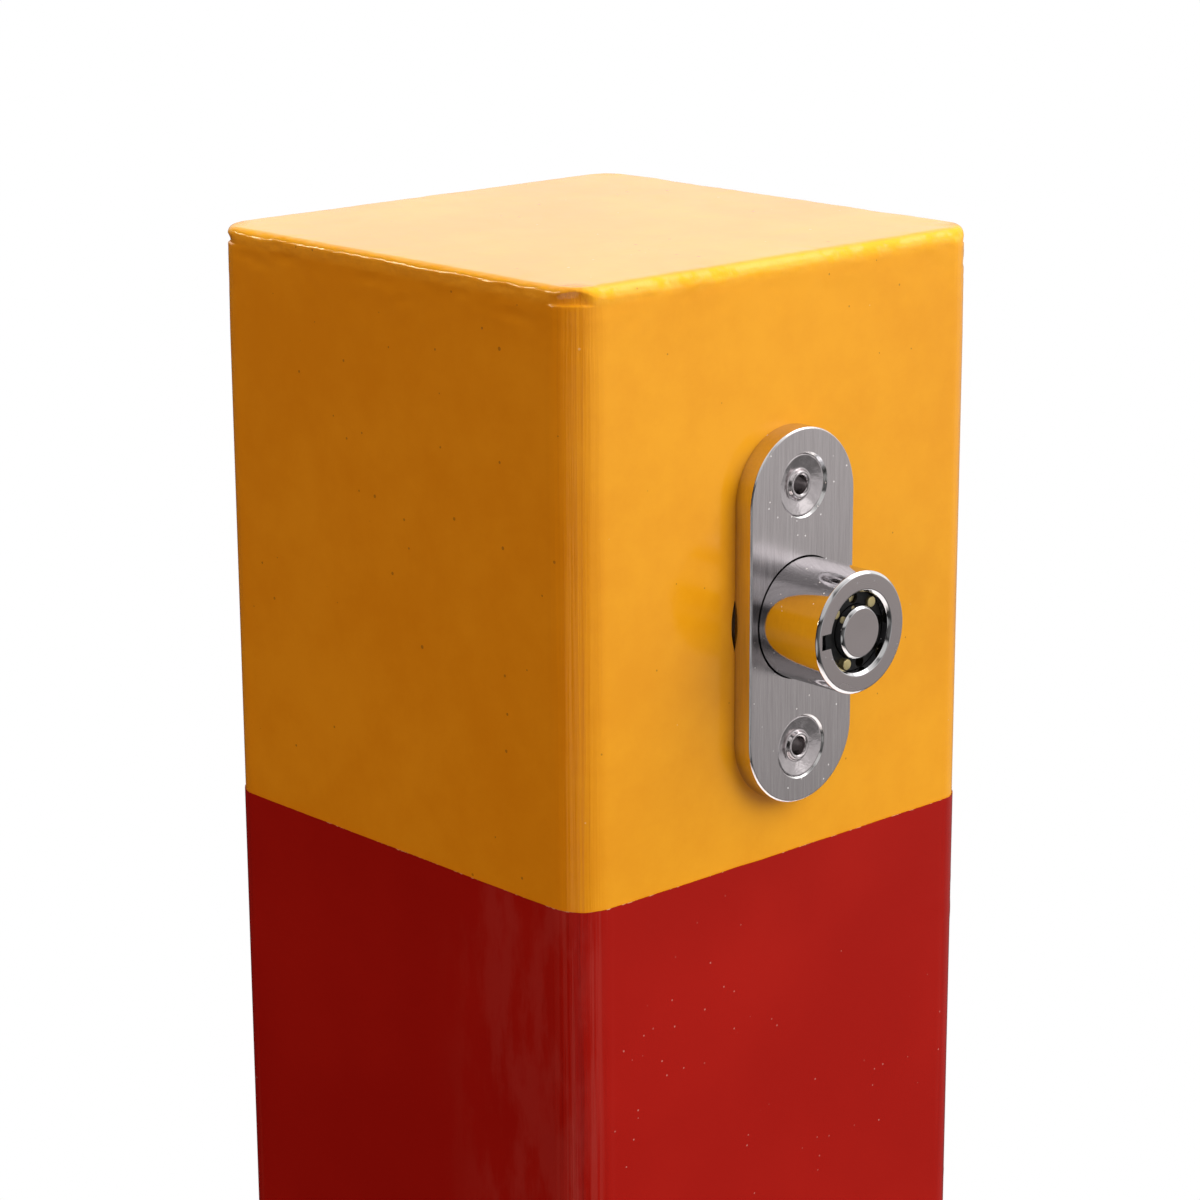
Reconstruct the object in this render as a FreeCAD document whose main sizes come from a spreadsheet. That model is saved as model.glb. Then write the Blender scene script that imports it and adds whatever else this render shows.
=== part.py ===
import FreeCAD, Part
import math
import os
import Sketcher

# Folding parking bollard, in millimetres.
# The origin is the centre of the foot plate's underside, +Z is up, the lock faces -Y
# and the post folds towards +Y.

DRIVING_SIZES = {
    # Post: square tube with a plate welded on its top end
    "post_height": 900.0,
    "post_width": 70.0,
    "post_wall": 3.0,
    "post_corner": 5.0,
    "cap_thickness": 2.0,
    "cap_edge": 1.0,
    # Red film bands, spread evenly between the bare head and the bare foot of the post
    "head_height": 76.2,
    "foot_height": 73.8,
    "band_height": 150.0,
    "film_thickness": 0.2,
    # Foot plate and its anchor holes
    "plate_width": 160.0,
    "plate_depth": 200.0,
    "plate_thickness": 8.0,
    "plate_corner": 14.0,
    "plate_edge": 1.0,
    "anchor_width": 120.0,
    "anchor_depth": 150.0,
    "anchor_hole": 14.0,
    # Hinge at the foot
    "hinge_height": 38.0,
    "hinge_dia": 12.0,
    "hinge_clearance": 0.08,
    "foot_gap": 3.0,
    "cheek_thickness": 6.0,
    "cheek_gap": 1.5,
    "cheek_radius": 20.0,
    "cheek_foot": 76.0,
    "weld_leg": 5.0,
    "pivot_dia": 20.0,
    "pivot_clearance": 0.05,
    "pivot_gap": 2.0,
    "thrust_dia": 30.0,
    "thrust_play": 0.2,
    "washer_dia": 24.0,
    "washer_thickness": 2.5,
    "hex_flats": 18.0,
    "hex_bevel": 1.2,
    "head_length": 7.5,
    "nut_length": 9.0,
    "nut_collar_dia": 16.0,
    "nut_collar_length": 3.0,
    "thread_stub": 2.0,
    # Seat under the standing post and keeper in front of which the rod drops
    "pad_depth": 10.0,
    "keeper_width": 40.0,
    "keeper_depth": 12.0,
    "keeper_height": 10.0,
    "keeper_edge": 1.0,
    "keeper_clearance": 0.4,
    # Locking rod and its guides
    "rod_dia": 12.0,
    "rod_clearance": 0.1,
    "rod_lift": 2.0,
    "rod_tip": 1.5,
    "guide_thickness": 4.0,
    "guide_gap": 1.0,
    "guide_fit": 0.1,
    "guide_corner": 3.0,
    # Lock plate and its rivets
    "lock_drop": 44.85,
    "shield_width": 18.1,
    "shield_height": 48.0,
    "shield_thickness": 2.8,
    "shield_edge": 0.3,
    "rivet_spacing": 33.6,
    "rivet_head": 7.8,
    "rivet_dia": 4.0,
    "rivet_bore": 2.3,
    "rivet_clearance": 0.1,
    "rivet_sink": 0.15,
    "rivet_bulb": 5.8,
    "rivet_bulb_length": 4.0,
    # Push lock
    "lock_stroke": 9.5,
    "plunger_dia": 15.4,
    "plunger_reach": 10.0,
    "plunger_play": 1.3,
    "plunger_clearance": 0.25,
    "plunger_edge": 0.45,
    "plunger_web": 3.0,
    "barrel_dia": 18.8,
    "barrel_end": 2.0,
    "neck_dia": 17.0,
    "neck_length": 2.0,
    "barrel_clearance": 0.2,
    "core_depth": 11.0,
    "core_clearance": 0.06,
    "keyway_dia": 10.4,
    "keyway_depth": 1.3,
    "spindle_dia": 6.7,
    "spindle_edge": 0.25,
    "notch_width": 1.9,
    "notch_depth": 1.7,
    "notch_length": 4.0,
    "tumbler_dia": 1.4,
    "tumbler_circle": 8.55,
    "tumbler_rise": 1.0,
    "tumbler_clearance": 0.05,
    "retainer_dia": 2.0,
    "retainer_place": 4.2,
    "retainer_depth": 1.0,
    "retainer_clearance": 0.1,
    # Latch bolt and the cam head that it pushes down
    "latch_dia": 8.0,
    "latch_reach": 7.0,
    "latch_clearance": 0.1,
    "stud_dia": 5.0,
    "stud_clearance": 0.05,
    "cam_width": 18.0,
    "cam_depth": 16.0,
    "cam_drop": 22.0,
    "cam_socket": 12.0,
    "cam_clearance": 0.3,
    "cam_gap": 1.0,
    "cam_pin_dia": 4.0,
    "cam_pin_clearance": 0.05,
    # Springs, as sleeves of the coils' outer shape
    "return_length": 40.0,
    "return_wire": 1.8,
    "return_clearance": 0.5,
    "push_wire": 1.1,
    "push_clearance": 0.3,
    "spring_play": 0.1,
}

# Seven tumbler pins round the ring, with none beside the notch: turn in degrees and share of the rise, where a
# share below zero means a pin that lies deeper than the ring's face.
TUMBLERS = ((-118, 0.9), (-75, -1.2), (-35, -1.0), (7, -1.1), (50, 0.4), (93, -0.4), (140, 0.1))

ROUNDING = 1e-6


class Size:
    """A length that knows its number and the formula that ties it to the sheet."""

    def __init__(self, number, formula):
        self.number = number
        self.formula = formula

    def __add__(self, other):
        other = as_size(other)
        return Size(self.number + other.number, f"({self.formula} + {other.formula})")

    def __sub__(self, other):
        other = as_size(other)
        return Size(self.number - other.number, f"({self.formula} - {other.formula})")

    def __mul__(self, other):
        other = as_size(other)
        return Size(self.number * other.number, f"({self.formula} * {other.formula})")

    def __truediv__(self, other):
        other = as_size(other)
        return Size(self.number / other.number, f"({self.formula} / {other.formula})")

    def __neg__(self):
        return Size(-self.number, f"(0 - {self.formula})")


def as_size(value):
    """A plain number as a Size."""
    if isinstance(value, Size):
        return value
    return Size(float(value), f"{float(value):.9f}")


def root(value):
    """The square root of a Size."""
    return Size(math.sqrt(value.number), f"sqrt({value.formula})")


document = FreeCAD.newDocument("folding_parking_bollard")
sheet = document.addObject("Spreadsheet::Sheet", "Sizes")
for row, (alias, number) in enumerate(DRIVING_SIZES.items(), start=1):
    sheet.set(f"A{row}", alias)
    sheet.set(f"B{row}", str(number))
    sheet.setAlias(f"B{row}", alias)
document.recompute()


class Sizes:
    """The driving sizes by name."""


for alias in DRIVING_SIZES:
    setattr(Sizes, alias, Size(float(getattr(sheet, alias)), f"Sizes.{alias}"))

sub_parts = []


def new_body(label, y=0, z=0):
    """A body for one piece, with its own frame at y, z."""
    body = document.addObject("PartDesign::Body", label)
    body.Label = label
    body.setExpression("Placement.Base.y", as_size(y).formula)
    body.setExpression("Placement.Base.z", as_size(z).formula)
    sub_parts.append(body)
    return body


def sketch_on(body, plane_role, across=0, up=0, depth=0):
    """A sketch on one of the body's planes, its origin moved in the plane and along its normal."""
    plane = next(item for item in body.Origin.OriginFeatures if item.Role == plane_role)
    sketch = body.newObject("Sketcher::SketchObject", body.Label + "_sketch")
    sketch.AttachmentSupport = [(plane, "")]
    sketch.MapMode = "FlatFace"
    for axis, amount in zip("xyz", (across, up, depth)):
        sketch.setExpression(f"AttachmentOffset.Base.{axis}", as_size(amount).formula)
    return sketch


def bind(sketch, kind, place, value):
    """Add a constraint whose value is tied to the sheet."""
    index = sketch.addConstraint(Sketcher.Constraint(kind, *place, value.number))
    name = f"size{index}"
    sketch.renameConstraint(index, name)
    sketch.setExpression(f"Constraints.{name}", value.formula)


def pin_point(sketch, geometry, point, across=None, up=None):
    """Fix a point of the sketch by its distances from the sketch's origin."""
    if across is not None:
        bind(sketch, "DistanceX", (-1, 1, geometry, point), across)
    if up is not None:
        bind(sketch, "DistanceY", (-1, 1, geometry, point), up)


def vector(point):
    """A sketch point as a vector."""
    return FreeCAD.Vector(point[0].number, point[1].number, 0)


def outline(sketch, corners, arcs=None):
    """A closed outline through the corners; arcs holds the centre of each run that turns anticlockwise."""
    arcs = arcs or {}
    corners = [(as_size(across), as_size(up)) for across, up in corners]
    normal = FreeCAD.Vector(0, 0, 1)
    runs = []
    for index, corner in enumerate(corners):
        start = vector(corner)
        end = vector(corners[(index + 1) % len(corners)])
        if index in arcs:
            centre = FreeCAD.Vector(*[as_size(value).number for value in arcs[index]], 0)
            first = math.atan2(start.y - centre.y, start.x - centre.x)
            last = math.atan2(end.y - centre.y, end.x - centre.x)
            circle = Part.Circle(centre, normal, start.distanceToPoint(centre))
            runs.append(sketch.addGeometry(Part.ArcOfCircle(circle, first, last)))
        else:
            runs.append(sketch.addGeometry(Part.LineSegment(start, end)))
    for index, run in enumerate(runs):
        sketch.addConstraint(Sketcher.Constraint("Coincident", runs[index - 1], 2, run, 1))
    for index, run in enumerate(runs):
        across, up = corners[index]
        before = (index - 1) % len(runs)
        if index in arcs:
            pin_point(sketch, run, 3, *[as_size(value) for value in arcs[index]])
        if before not in arcs:
            pin_point(sketch, run, 1, across, up)
        else:
            centre = [as_size(value) for value in arcs[before]]
            steep = abs(up.number - centre[1].number) > abs(across.number - centre[0].number)
            if steep:
                pin_point(sketch, run, 1, across=across)
            else:
                pin_point(sketch, run, 1, up=up)


def circle(sketch, across, up, diameter):
    """A circle by its centre and diameter."""
    centre = (as_size(across), as_size(up))
    geometry = sketch.addGeometry(Part.Circle(vector(centre), FreeCAD.Vector(0, 0, 1), diameter.number / 2))
    pin_point(sketch, geometry, 3, *centre)
    bind(sketch, "Diameter", (geometry,), diameter)


def rectangle(sketch, left, bottom, right, top):
    """A rectangle by its sides."""
    outline(sketch, [(left, bottom), (right, bottom), (right, top), (left, top)])


def rounded_rectangle(sketch, width, height, radius):
    """A rectangle centred on the sketch's origin, with round corners."""
    far_x = width / 2
    far_y = height / 2
    near_x = far_x - radius
    near_y = far_y - radius
    corners = [
        (-near_x, -far_y), (near_x, -far_y), (far_x, -near_y), (far_x, near_y),
        (near_x, far_y), (-near_x, far_y), (-far_x, near_y), (-far_x, -near_y),
    ]
    arcs = {1: (near_x, -near_y), 3: (near_x, near_y), 5: (-near_x, near_y), 7: (-near_x, -near_y)}
    outline(sketch, corners, arcs)


def hexagon(sketch, flats):
    """A hexagon by its width across flats, one corner pointing along the sketch's first axis."""
    far = flats / math.sqrt(3)
    near = far / 2
    half = flats / 2
    outline(sketch, [(far, 0), (near, half), (-near, half), (-far, 0), (-near, -half), (near, -half)])


def pad(body, sketch, length, symmetric=False, backwards=False):
    """Raise a sketch into a solid."""
    feature = body.newObject("PartDesign::Pad", body.Label + "_pad")
    feature.Profile = sketch
    feature.setExpression("Length", as_size(length).formula)
    if symmetric:
        feature.SideType = "Symmetric"
    feature.Reversed = backwards
    document.recompute()
    return feature


def must_cut(body, feature):
    """Stop if a cut took nothing away."""
    before = feature.BaseFeature.Shape.Volume
    if not feature.Shape.Volume < before - ROUNDING:
        raise RuntimeError(f"a cut in {body.Label} misses the solid")


def pocket(body, sketch, length, symmetric=False, backwards=False):
    """Cut a sketch out of the solid."""
    feature = body.newObject("PartDesign::Pocket", body.Label + "_pocket")
    feature.Profile = sketch
    feature.setExpression("Length", as_size(length).formula)
    if symmetric:
        feature.SideType = "Symmetric"
    feature.Reversed = backwards
    document.recompute()
    must_cut(body, feature)
    return feature


def revolve(body, sketch, axis="H_Axis"):
    """Turn a sketch about one of its own axes."""
    feature = body.newObject("PartDesign::Revolution", body.Label + "_turned")
    feature.Profile = sketch
    feature.ReferenceAxis = (sketch, [axis])
    feature.Angle = 360
    document.recompute()
    return feature


def groove(body, sketch, axis="H_Axis"):
    """Cut a sketch out of the solid by turning it about one of its own axes."""
    feature = body.newObject("PartDesign::Groove", body.Label + "_groove")
    feature.Profile = sketch
    feature.ReferenceAxis = (sketch, [axis])
    feature.Angle = 360
    document.recompute()
    must_cut(body, feature)
    return feature


def mirror(body, feature, plane_role):
    """Repeat a feature on the other side of one of the body's planes."""
    plane = next(item for item in body.Origin.OriginFeatures if item.Role == plane_role)
    mirrored = body.newObject("PartDesign::Mirrored", body.Label + "_mirrored")
    mirrored.Originals = [feature]
    mirrored.MirrorPlane = (plane, [""])
    body.Tip = mirrored
    document.recompute()
    return mirrored


def edges_at(feature, axis, place):
    """The names of the edges that lie wholly at one place along an axis."""
    names = []
    for index, edge in enumerate(feature.Shape.Edges, start=1):
        if all(abs(getattr(vertex.Point, axis) - place.number) < ROUNDING for vertex in edge.Vertexes):
            names.append(f"Edge{index}")
    return names


def soften(body, feature, edges, amount, kind):
    """A Fillet or a Chamfer along edges of the feature."""
    softened = body.newObject("PartDesign::" + kind, body.Label + "_edge")
    softened.Base = (feature, edges)
    softened.setExpression("Radius" if kind == "Fillet" else "Size", as_size(amount).formula)
    document.recompute()
    return softened


# Places that several pieces share
post_half = Sizes.post_width / 2
tube_inside = Sizes.post_width - Sizes.post_wall * 2
inside_half = tube_inside / 2
post_foot = Sizes.plate_thickness + Sizes.foot_gap
tube_top = Sizes.post_height - Sizes.cap_thickness
cheek_inside = post_half + Sizes.cheek_gap
cheek_outside = cheek_inside + Sizes.cheek_thickness
hinge_offset = Sizes.rod_dia / 2 + Sizes.pivot_dia / 2 + Sizes.pivot_gap
hinge_bore = Sizes.hinge_dia + Sizes.hinge_clearance * 2
keeper_top = Sizes.plate_thickness + Sizes.keeper_height
rod_bottom = keeper_top + Sizes.rod_lift
rod_hole = Sizes.rod_dia + Sizes.rod_clearance * 2

# Places along the lock's axis, from the keyway's mouth to the cam head
lock_height = Sizes.post_height - Sizes.lock_drop
shield_back = -post_half
shield_front = shield_back - Sizes.shield_thickness
plunger_front = shield_front - Sizes.plunger_reach
core_back = plunger_front + Sizes.core_depth
web_back = core_back + Sizes.plunger_web
barrel_back = -(Sizes.cam_depth / 2 + Sizes.cam_gap)
barrel_floor = barrel_back - Sizes.barrel_end
plunger_back = barrel_floor - Sizes.lock_stroke - Sizes.plunger_play
barrel_bore = Sizes.plunger_dia + Sizes.plunger_clearance * 2
latch_tip = barrel_back + Sizes.latch_reach
spring_hole = Sizes.latch_dia + (Sizes.push_clearance * 2 + Sizes.push_wire) * 2
keyway_floor = plunger_front + Sizes.keyway_depth
retainer_y = plunger_back - Sizes.retainer_place

# Heights of the cam head, of the guide under its spring and of the one under the hinge
cam_bottom = lock_height - Sizes.cam_drop
rod_top = cam_bottom + Sizes.cam_socket
upper_guide_top = cam_bottom - Sizes.return_length
lower_guide_top = Sizes.hinge_height - Sizes.pivot_dia / 2 - Sizes.guide_gap


def make_base_plate():
    body = new_body("base_plate")
    sketch = sketch_on(body, "XY_Plane")
    rounded_rectangle(sketch, Sizes.plate_width, Sizes.plate_depth, Sizes.plate_corner)
    plate = pad(body, sketch, Sizes.plate_thickness)
    rim = edges_at(plate, "z", Sizes.plate_thickness)
    soften(body, plate, rim, Sizes.plate_edge, "Chamfer")
    holes = sketch_on(body, "XY_Plane")
    for side in (-1, 1):
        for end in (-1, 1):
            circle(holes, Sizes.anchor_width / 2 * side, Sizes.anchor_depth / 2 * end, Sizes.anchor_hole)
    pocket(body, holes, Sizes.plate_thickness, backwards=True)


def make_hinge_cheek(label, side):
    """One upright ear: straight flanks that run tangent into a round top about the hinge."""
    body = new_body(label, hinge_offset, Sizes.hinge_height)
    half = Sizes.cheek_foot / 2
    drop = Sizes.hinge_height - Sizes.plate_thickness
    radius = Sizes.cheek_radius
    reach = half * half + drop * drop
    along = radius * radius / reach
    aside = radius * root(reach - radius * radius) / reach
    touch_y = along * half + aside * drop
    touch_z = aside * half - along * drop
    sketch = sketch_on(body, "YZ_Plane", depth=cheek_inside * side)
    corners = [(-half, -drop), (half, -drop), (touch_y, touch_z), (-touch_y, touch_z)]
    outline(sketch, corners, {2: (0, 0)})
    pad(body, sketch, Sizes.cheek_thickness, backwards=side < 0)
    hole = sketch_on(body, "YZ_Plane")
    circle(hole, 0, 0, hinge_bore)
    pocket(body, hole, cheek_outside * 2, symmetric=True)


def make_cheek_welds():
    """A weld fillet along the outer foot of each cheek."""
    body = new_body("cheek_welds", hinge_offset)
    low = Sizes.plate_thickness
    leg = Sizes.weld_leg
    sketch = sketch_on(body, "XZ_Plane")
    outline(sketch, [(cheek_outside, low), (cheek_outside + leg, low), (cheek_outside, low + leg)])
    bead = pad(body, sketch, Sizes.cheek_foot, symmetric=True)
    mirror(body, bead, "YZ_Plane")


def make_ring(label, inner, outer, start, thickness):
    """A disc with a hole round the hinge axis, and its twin on the other side of the post."""
    body = new_body(label, hinge_offset, Sizes.hinge_height)
    sketch = sketch_on(body, "XZ_Plane")
    rectangle(sketch, start, inner / 2, start + thickness, outer / 2)
    mirror(body, revolve(body, sketch), "YZ_Plane")


def make_hex(body, start, length, bevelled_end):
    """A hexagonal block round the hinge axis with one end's corners turned off."""
    sketch = sketch_on(body, "YZ_Plane", depth=start)
    hexagon(sketch, Sizes.hex_flats)
    pad(body, sketch, length)
    cut = sketch_on(body, "XZ_Plane")
    corner = Sizes.hex_flats / math.sqrt(3)
    outside = corner + Sizes.hex_bevel
    run = (outside - Sizes.hex_flats / 2) / math.sqrt(3)
    inward = bevelled_end - run if bevelled_end.number > start.number else bevelled_end + run
    points = [(bevelled_end, Sizes.hex_flats / 2), (bevelled_end, outside), (inward, outside)]
    outline(cut, points)
    groove(body, cut)


def make_hinge_bolt():
    body = new_body("hinge_bolt", hinge_offset, Sizes.hinge_height)
    under_head = cheek_outside + Sizes.washer_thickness
    make_hex(body, under_head, Sizes.head_length, under_head + Sizes.head_length)
    tail = under_head + Sizes.nut_length + Sizes.nut_collar_length + Sizes.thread_stub
    radius = Sizes.hinge_dia / 2
    bevel = Sizes.hex_bevel
    sketch = sketch_on(body, "XZ_Plane")
    points = [
        (-tail, 0), (under_head, 0), (under_head, radius), (bevel - tail, radius), (-tail, radius - bevel),
    ]
    outline(sketch, points)
    revolve(body, sketch)


def make_hinge_nut():
    """Lock nut: a hexagon with the round collar that holds its plastic ring."""
    body = new_body("hinge_nut", hinge_offset, Sizes.hinge_height)
    face = -(cheek_outside + Sizes.washer_thickness)
    back = face - Sizes.nut_length
    make_hex(body, back, Sizes.nut_length, face)
    collar = sketch_on(body, "XZ_Plane")
    rectangle(collar, back - Sizes.nut_collar_length, hinge_bore / 2, back, Sizes.nut_collar_dia / 2)
    revolve(body, collar)
    hole = sketch_on(body, "YZ_Plane", depth=back)
    circle(hole, 0, 0, hinge_bore)
    pocket(body, hole, Sizes.nut_length, backwards=True)


def make_keeper_bar():
    """Block welded on the foot plate: the lowered rod stands in front of it and can't swing back."""
    body = new_body("keeper_bar")
    front = -(Sizes.rod_dia / 2 + Sizes.keeper_clearance)
    half = Sizes.keeper_width / 2
    sketch = sketch_on(body, "XY_Plane", depth=Sizes.plate_thickness)
    rectangle(sketch, -half, front - Sizes.keeper_depth, half, front)
    block = pad(body, sketch, Sizes.keeper_height)
    soften(body, block, edges_at(block, "z", keeper_top), Sizes.keeper_edge, "Chamfer")


def make_seat_pad():
    """Rubber strip under the back wall of the standing post."""
    body = new_body("seat_pad")
    sketch = sketch_on(body, "XY_Plane", depth=Sizes.plate_thickness)
    rectangle(sketch, -post_half, -post_half, post_half, Sizes.pad_depth - post_half)
    pad(body, sketch, Sizes.foot_gap)


def make_post_tube():
    body = new_body("post_tube")
    section = sketch_on(body, "XY_Plane", depth=post_foot)
    rounded_rectangle(section, Sizes.post_width, Sizes.post_width, Sizes.post_corner)
    rounded_rectangle(section, tube_inside, tube_inside, Sizes.post_corner - Sizes.post_wall)
    pad(body, section, tube_top - post_foot)
    # The front of the foot is cut round the hinge, so that it clears the plate as the post folds.
    radius = Sizes.hinge_height - post_foot
    ahead = post_half - hinge_offset
    rise = root(radius * radius - ahead * ahead)
    beyond = post_half + Sizes.foot_gap
    below = Sizes.plate_thickness
    relief = sketch_on(body, "YZ_Plane")
    corners = [
        (hinge_offset, post_foot), (post_half, Sizes.hinge_height - rise),
        (beyond, Sizes.hinge_height - rise), (beyond, below), (hinge_offset, below),
    ]
    outline(relief, corners, {0: (hinge_offset, Sizes.hinge_height)})
    pocket(body, relief, Sizes.post_width, symmetric=True)
    pivot = sketch_on(body, "YZ_Plane")
    circle(pivot, hinge_offset, Sizes.hinge_height, Sizes.pivot_dia + Sizes.pivot_clearance * 2)
    pocket(body, pivot, Sizes.post_width, symmetric=True)
    lock = sketch_on(body, "XZ_Plane", up=lock_height, depth=post_half)
    circle(lock, 0, 0, Sizes.barrel_dia + Sizes.barrel_clearance * 2)
    for side in (-1, 1):
        circle(lock, 0, Sizes.rivet_spacing / 2 * side, Sizes.rivet_dia + Sizes.rivet_clearance * 2)
    pocket(body, lock, Sizes.post_wall)


def make_top_cap():
    """Plate welded on the tube, ground flush with its sides and round along its upper edge."""
    body = new_body("top_cap", z=tube_top)
    sketch = sketch_on(body, "XY_Plane")
    rounded_rectangle(sketch, Sizes.post_width, Sizes.post_width, Sizes.post_corner)
    plate = pad(body, sketch, Sizes.cap_thickness)
    soften(body, plate, edges_at(plate, "z", Sizes.cap_thickness), Sizes.cap_edge, "Fillet")


def make_red_band(label, share):
    """Film wrapped round the post; share runs from 0 for the highest band to 1 for the lowest."""
    highest = Sizes.post_height - Sizes.head_height - Sizes.band_height
    body = new_body(label, z=highest - (highest - Sizes.foot_height) * share)
    outside = Sizes.post_width + Sizes.film_thickness * 2
    sketch = sketch_on(body, "XY_Plane")
    rounded_rectangle(sketch, outside, outside, Sizes.post_corner + Sizes.film_thickness)
    rounded_rectangle(sketch, Sizes.post_width, Sizes.post_width, Sizes.post_corner)
    pad(body, sketch, Sizes.band_height)


def make_pivot_tube():
    """Bush welded across the post, in which the hinge bolt turns."""
    body = new_body("pivot_tube", hinge_offset, Sizes.hinge_height)
    sketch = sketch_on(body, "XZ_Plane")
    rectangle(sketch, -post_half, hinge_bore / 2, post_half, Sizes.pivot_dia / 2)
    revolve(body, sketch)


def make_guide(label, bottom):
    """Plate across the inside of the post with a hole for the rod."""
    body = new_body(label, z=bottom)
    width = tube_inside - Sizes.guide_fit * 2
    sketch = sketch_on(body, "XY_Plane")
    rounded_rectangle(sketch, width, width, Sizes.guide_corner)
    circle(sketch, 0, 0, rod_hole)
    pad(body, sketch, Sizes.guide_thickness)


def make_locking_rod():
    body = new_body("locking_rod")
    radius = Sizes.rod_dia / 2
    tip = Sizes.rod_tip
    sketch = sketch_on(body, "YZ_Plane")
    points = [
        (0, rod_bottom), (radius - tip, rod_bottom), (radius, rod_bottom + tip), (radius, rod_top),
        (0, rod_top),
    ]
    outline(sketch, points)
    revolve(body, sketch, "V_Axis")
    hole = sketch_on(body, "YZ_Plane")
    circle(hole, 0, cam_bottom + Sizes.cam_socket / 2, Sizes.cam_pin_dia + Sizes.cam_pin_clearance * 2)
    pocket(body, hole, Sizes.rod_dia, symmetric=True)


def make_cam_head():
    """Block on the rod's top whose slope takes the latch bolt's bevel: one in, one down."""
    body = new_body("cam_head", z=lock_height)
    half = Sizes.cam_depth / 2
    bottom = -Sizes.cam_drop
    slope = Sizes.latch_dia / 2 - latch_tip - Sizes.cam_clearance
    flat = Sizes.lock_stroke - Sizes.latch_dia / 2 - Sizes.cam_clearance
    sketch = sketch_on(body, "YZ_Plane")
    corners = [(-half, bottom), (half, bottom), (half, flat), (flat - slope, flat), (-half, slope - half)]
    outline(sketch, corners)
    pad(body, sketch, Sizes.cam_width, symmetric=True)
    socket = sketch_on(body, "XY_Plane", depth=bottom)
    circle(socket, 0, 0, Sizes.rod_dia + Sizes.stud_clearance * 2)
    pocket(body, socket, Sizes.cam_socket, backwards=True)
    hole = sketch_on(body, "YZ_Plane")
    circle(hole, 0, bottom + Sizes.cam_socket / 2, Sizes.cam_pin_dia + Sizes.cam_pin_clearance * 2)
    pocket(body, hole, Sizes.cam_width, symmetric=True)


def make_cam_pin():
    body = new_body("cam_pin", z=cam_bottom + Sizes.cam_socket / 2)
    sketch = sketch_on(body, "YZ_Plane")
    circle(sketch, 0, 0, Sizes.cam_pin_dia)
    pad(body, sketch, Sizes.cam_width, symmetric=True)


def make_return_spring():
    """Sleeve of the coil that lifts the rod, between the upper guide and the cam head."""
    body = new_body("return_spring", z=upper_guide_top)
    inner = Sizes.rod_dia / 2 + Sizes.return_clearance
    play = Sizes.spring_play
    sketch = sketch_on(body, "YZ_Plane")
    rectangle(sketch, inner, play, inner + Sizes.return_wire, Sizes.return_length - play)
    revolve(body, sketch, "V_Axis")


def make_lock_plate():
    body = new_body("lock_plate", z=lock_height)
    radius = Sizes.shield_width / 2
    straight = Sizes.shield_height / 2 - radius
    sketch = sketch_on(body, "XZ_Plane", depth=post_half)
    corners = [(radius, -straight), (radius, straight), (-radius, straight), (-radius, -straight)]
    outline(sketch, corners, {1: (0, straight), 3: (0, -straight)})
    plate = pad(body, sketch, Sizes.shield_thickness)
    soften(body, plate, edges_at(plate, "y", shield_front), Sizes.shield_edge, "Chamfer")
    bore = sketch_on(body, "XZ_Plane", depth=post_half)
    circle(bore, 0, 0, barrel_bore)
    pocket(body, bore, Sizes.shield_thickness, backwards=True)
    # Countersinks for the rivets, with the slope of their heads and a little deeper
    head = Sizes.rivet_head / 2 + Sizes.rivet_sink + Sizes.rivet_clearance
    shank = Sizes.rivet_dia / 2 + Sizes.rivet_clearance
    sink = sketch_on(body, "YZ_Plane", up=Sizes.rivet_spacing / 2)
    points = [
        (shield_front, 0), (shield_back, 0), (shield_back, shank), (shield_front + (head - shank), shank),
        (shield_front, head),
    ]
    outline(sink, points)
    mirror(body, groove(body, sink), "XY_Plane")


def make_plate_rivets():
    """Blind rivets: a dished countersunk head, a hollow shank and a bulb behind the post's wall."""
    body = new_body("plate_rivets", z=lock_height)
    head = Sizes.rivet_head / 2
    shank = Sizes.rivet_dia / 2
    bore = Sizes.rivet_bore / 2
    bulb = Sizes.rivet_bulb / 2
    front = shield_front + Sizes.rivet_sink
    wall = shield_back + Sizes.post_wall
    end = wall + Sizes.rivet_bulb_length
    lip = (shank + bore) / 2
    dish = Sizes.rivet_sink * 2
    sketch = sketch_on(body, "YZ_Plane", up=Sizes.rivet_spacing / 2)
    points = [
        (front, head), (front + dish, shank + Sizes.rivet_sink), (front, lip),
        (front + Sizes.rivet_sink, bore), (end, bore), (end, bulb), (wall, bulb), (wall, shank),
        (front + (head - shank), shank),
    ]
    outline(sketch, points)
    mirror(body, revolve(body, sketch), "XY_Plane")


def make_rivet_mandrels():
    """The broken mandrels that stay inside the rivets, each with its head behind the bulb."""
    body = new_body("rivet_mandrels", z=lock_height)
    stem = Sizes.rivet_bore / 2 - Sizes.tumbler_clearance
    head = Sizes.rivet_dia / 2
    end = shield_back + Sizes.post_wall + Sizes.rivet_bulb_length
    front = shield_back
    sketch = sketch_on(body, "YZ_Plane", up=Sizes.rivet_spacing / 2)
    points = [
        (front, 0), (end + head, 0), (end + head, stem), (end + stem, head), (end, head), (end, stem),
        (front, stem),
    ]
    outline(sketch, points)
    mirror(body, revolve(body, sketch), "XY_Plane")


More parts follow.
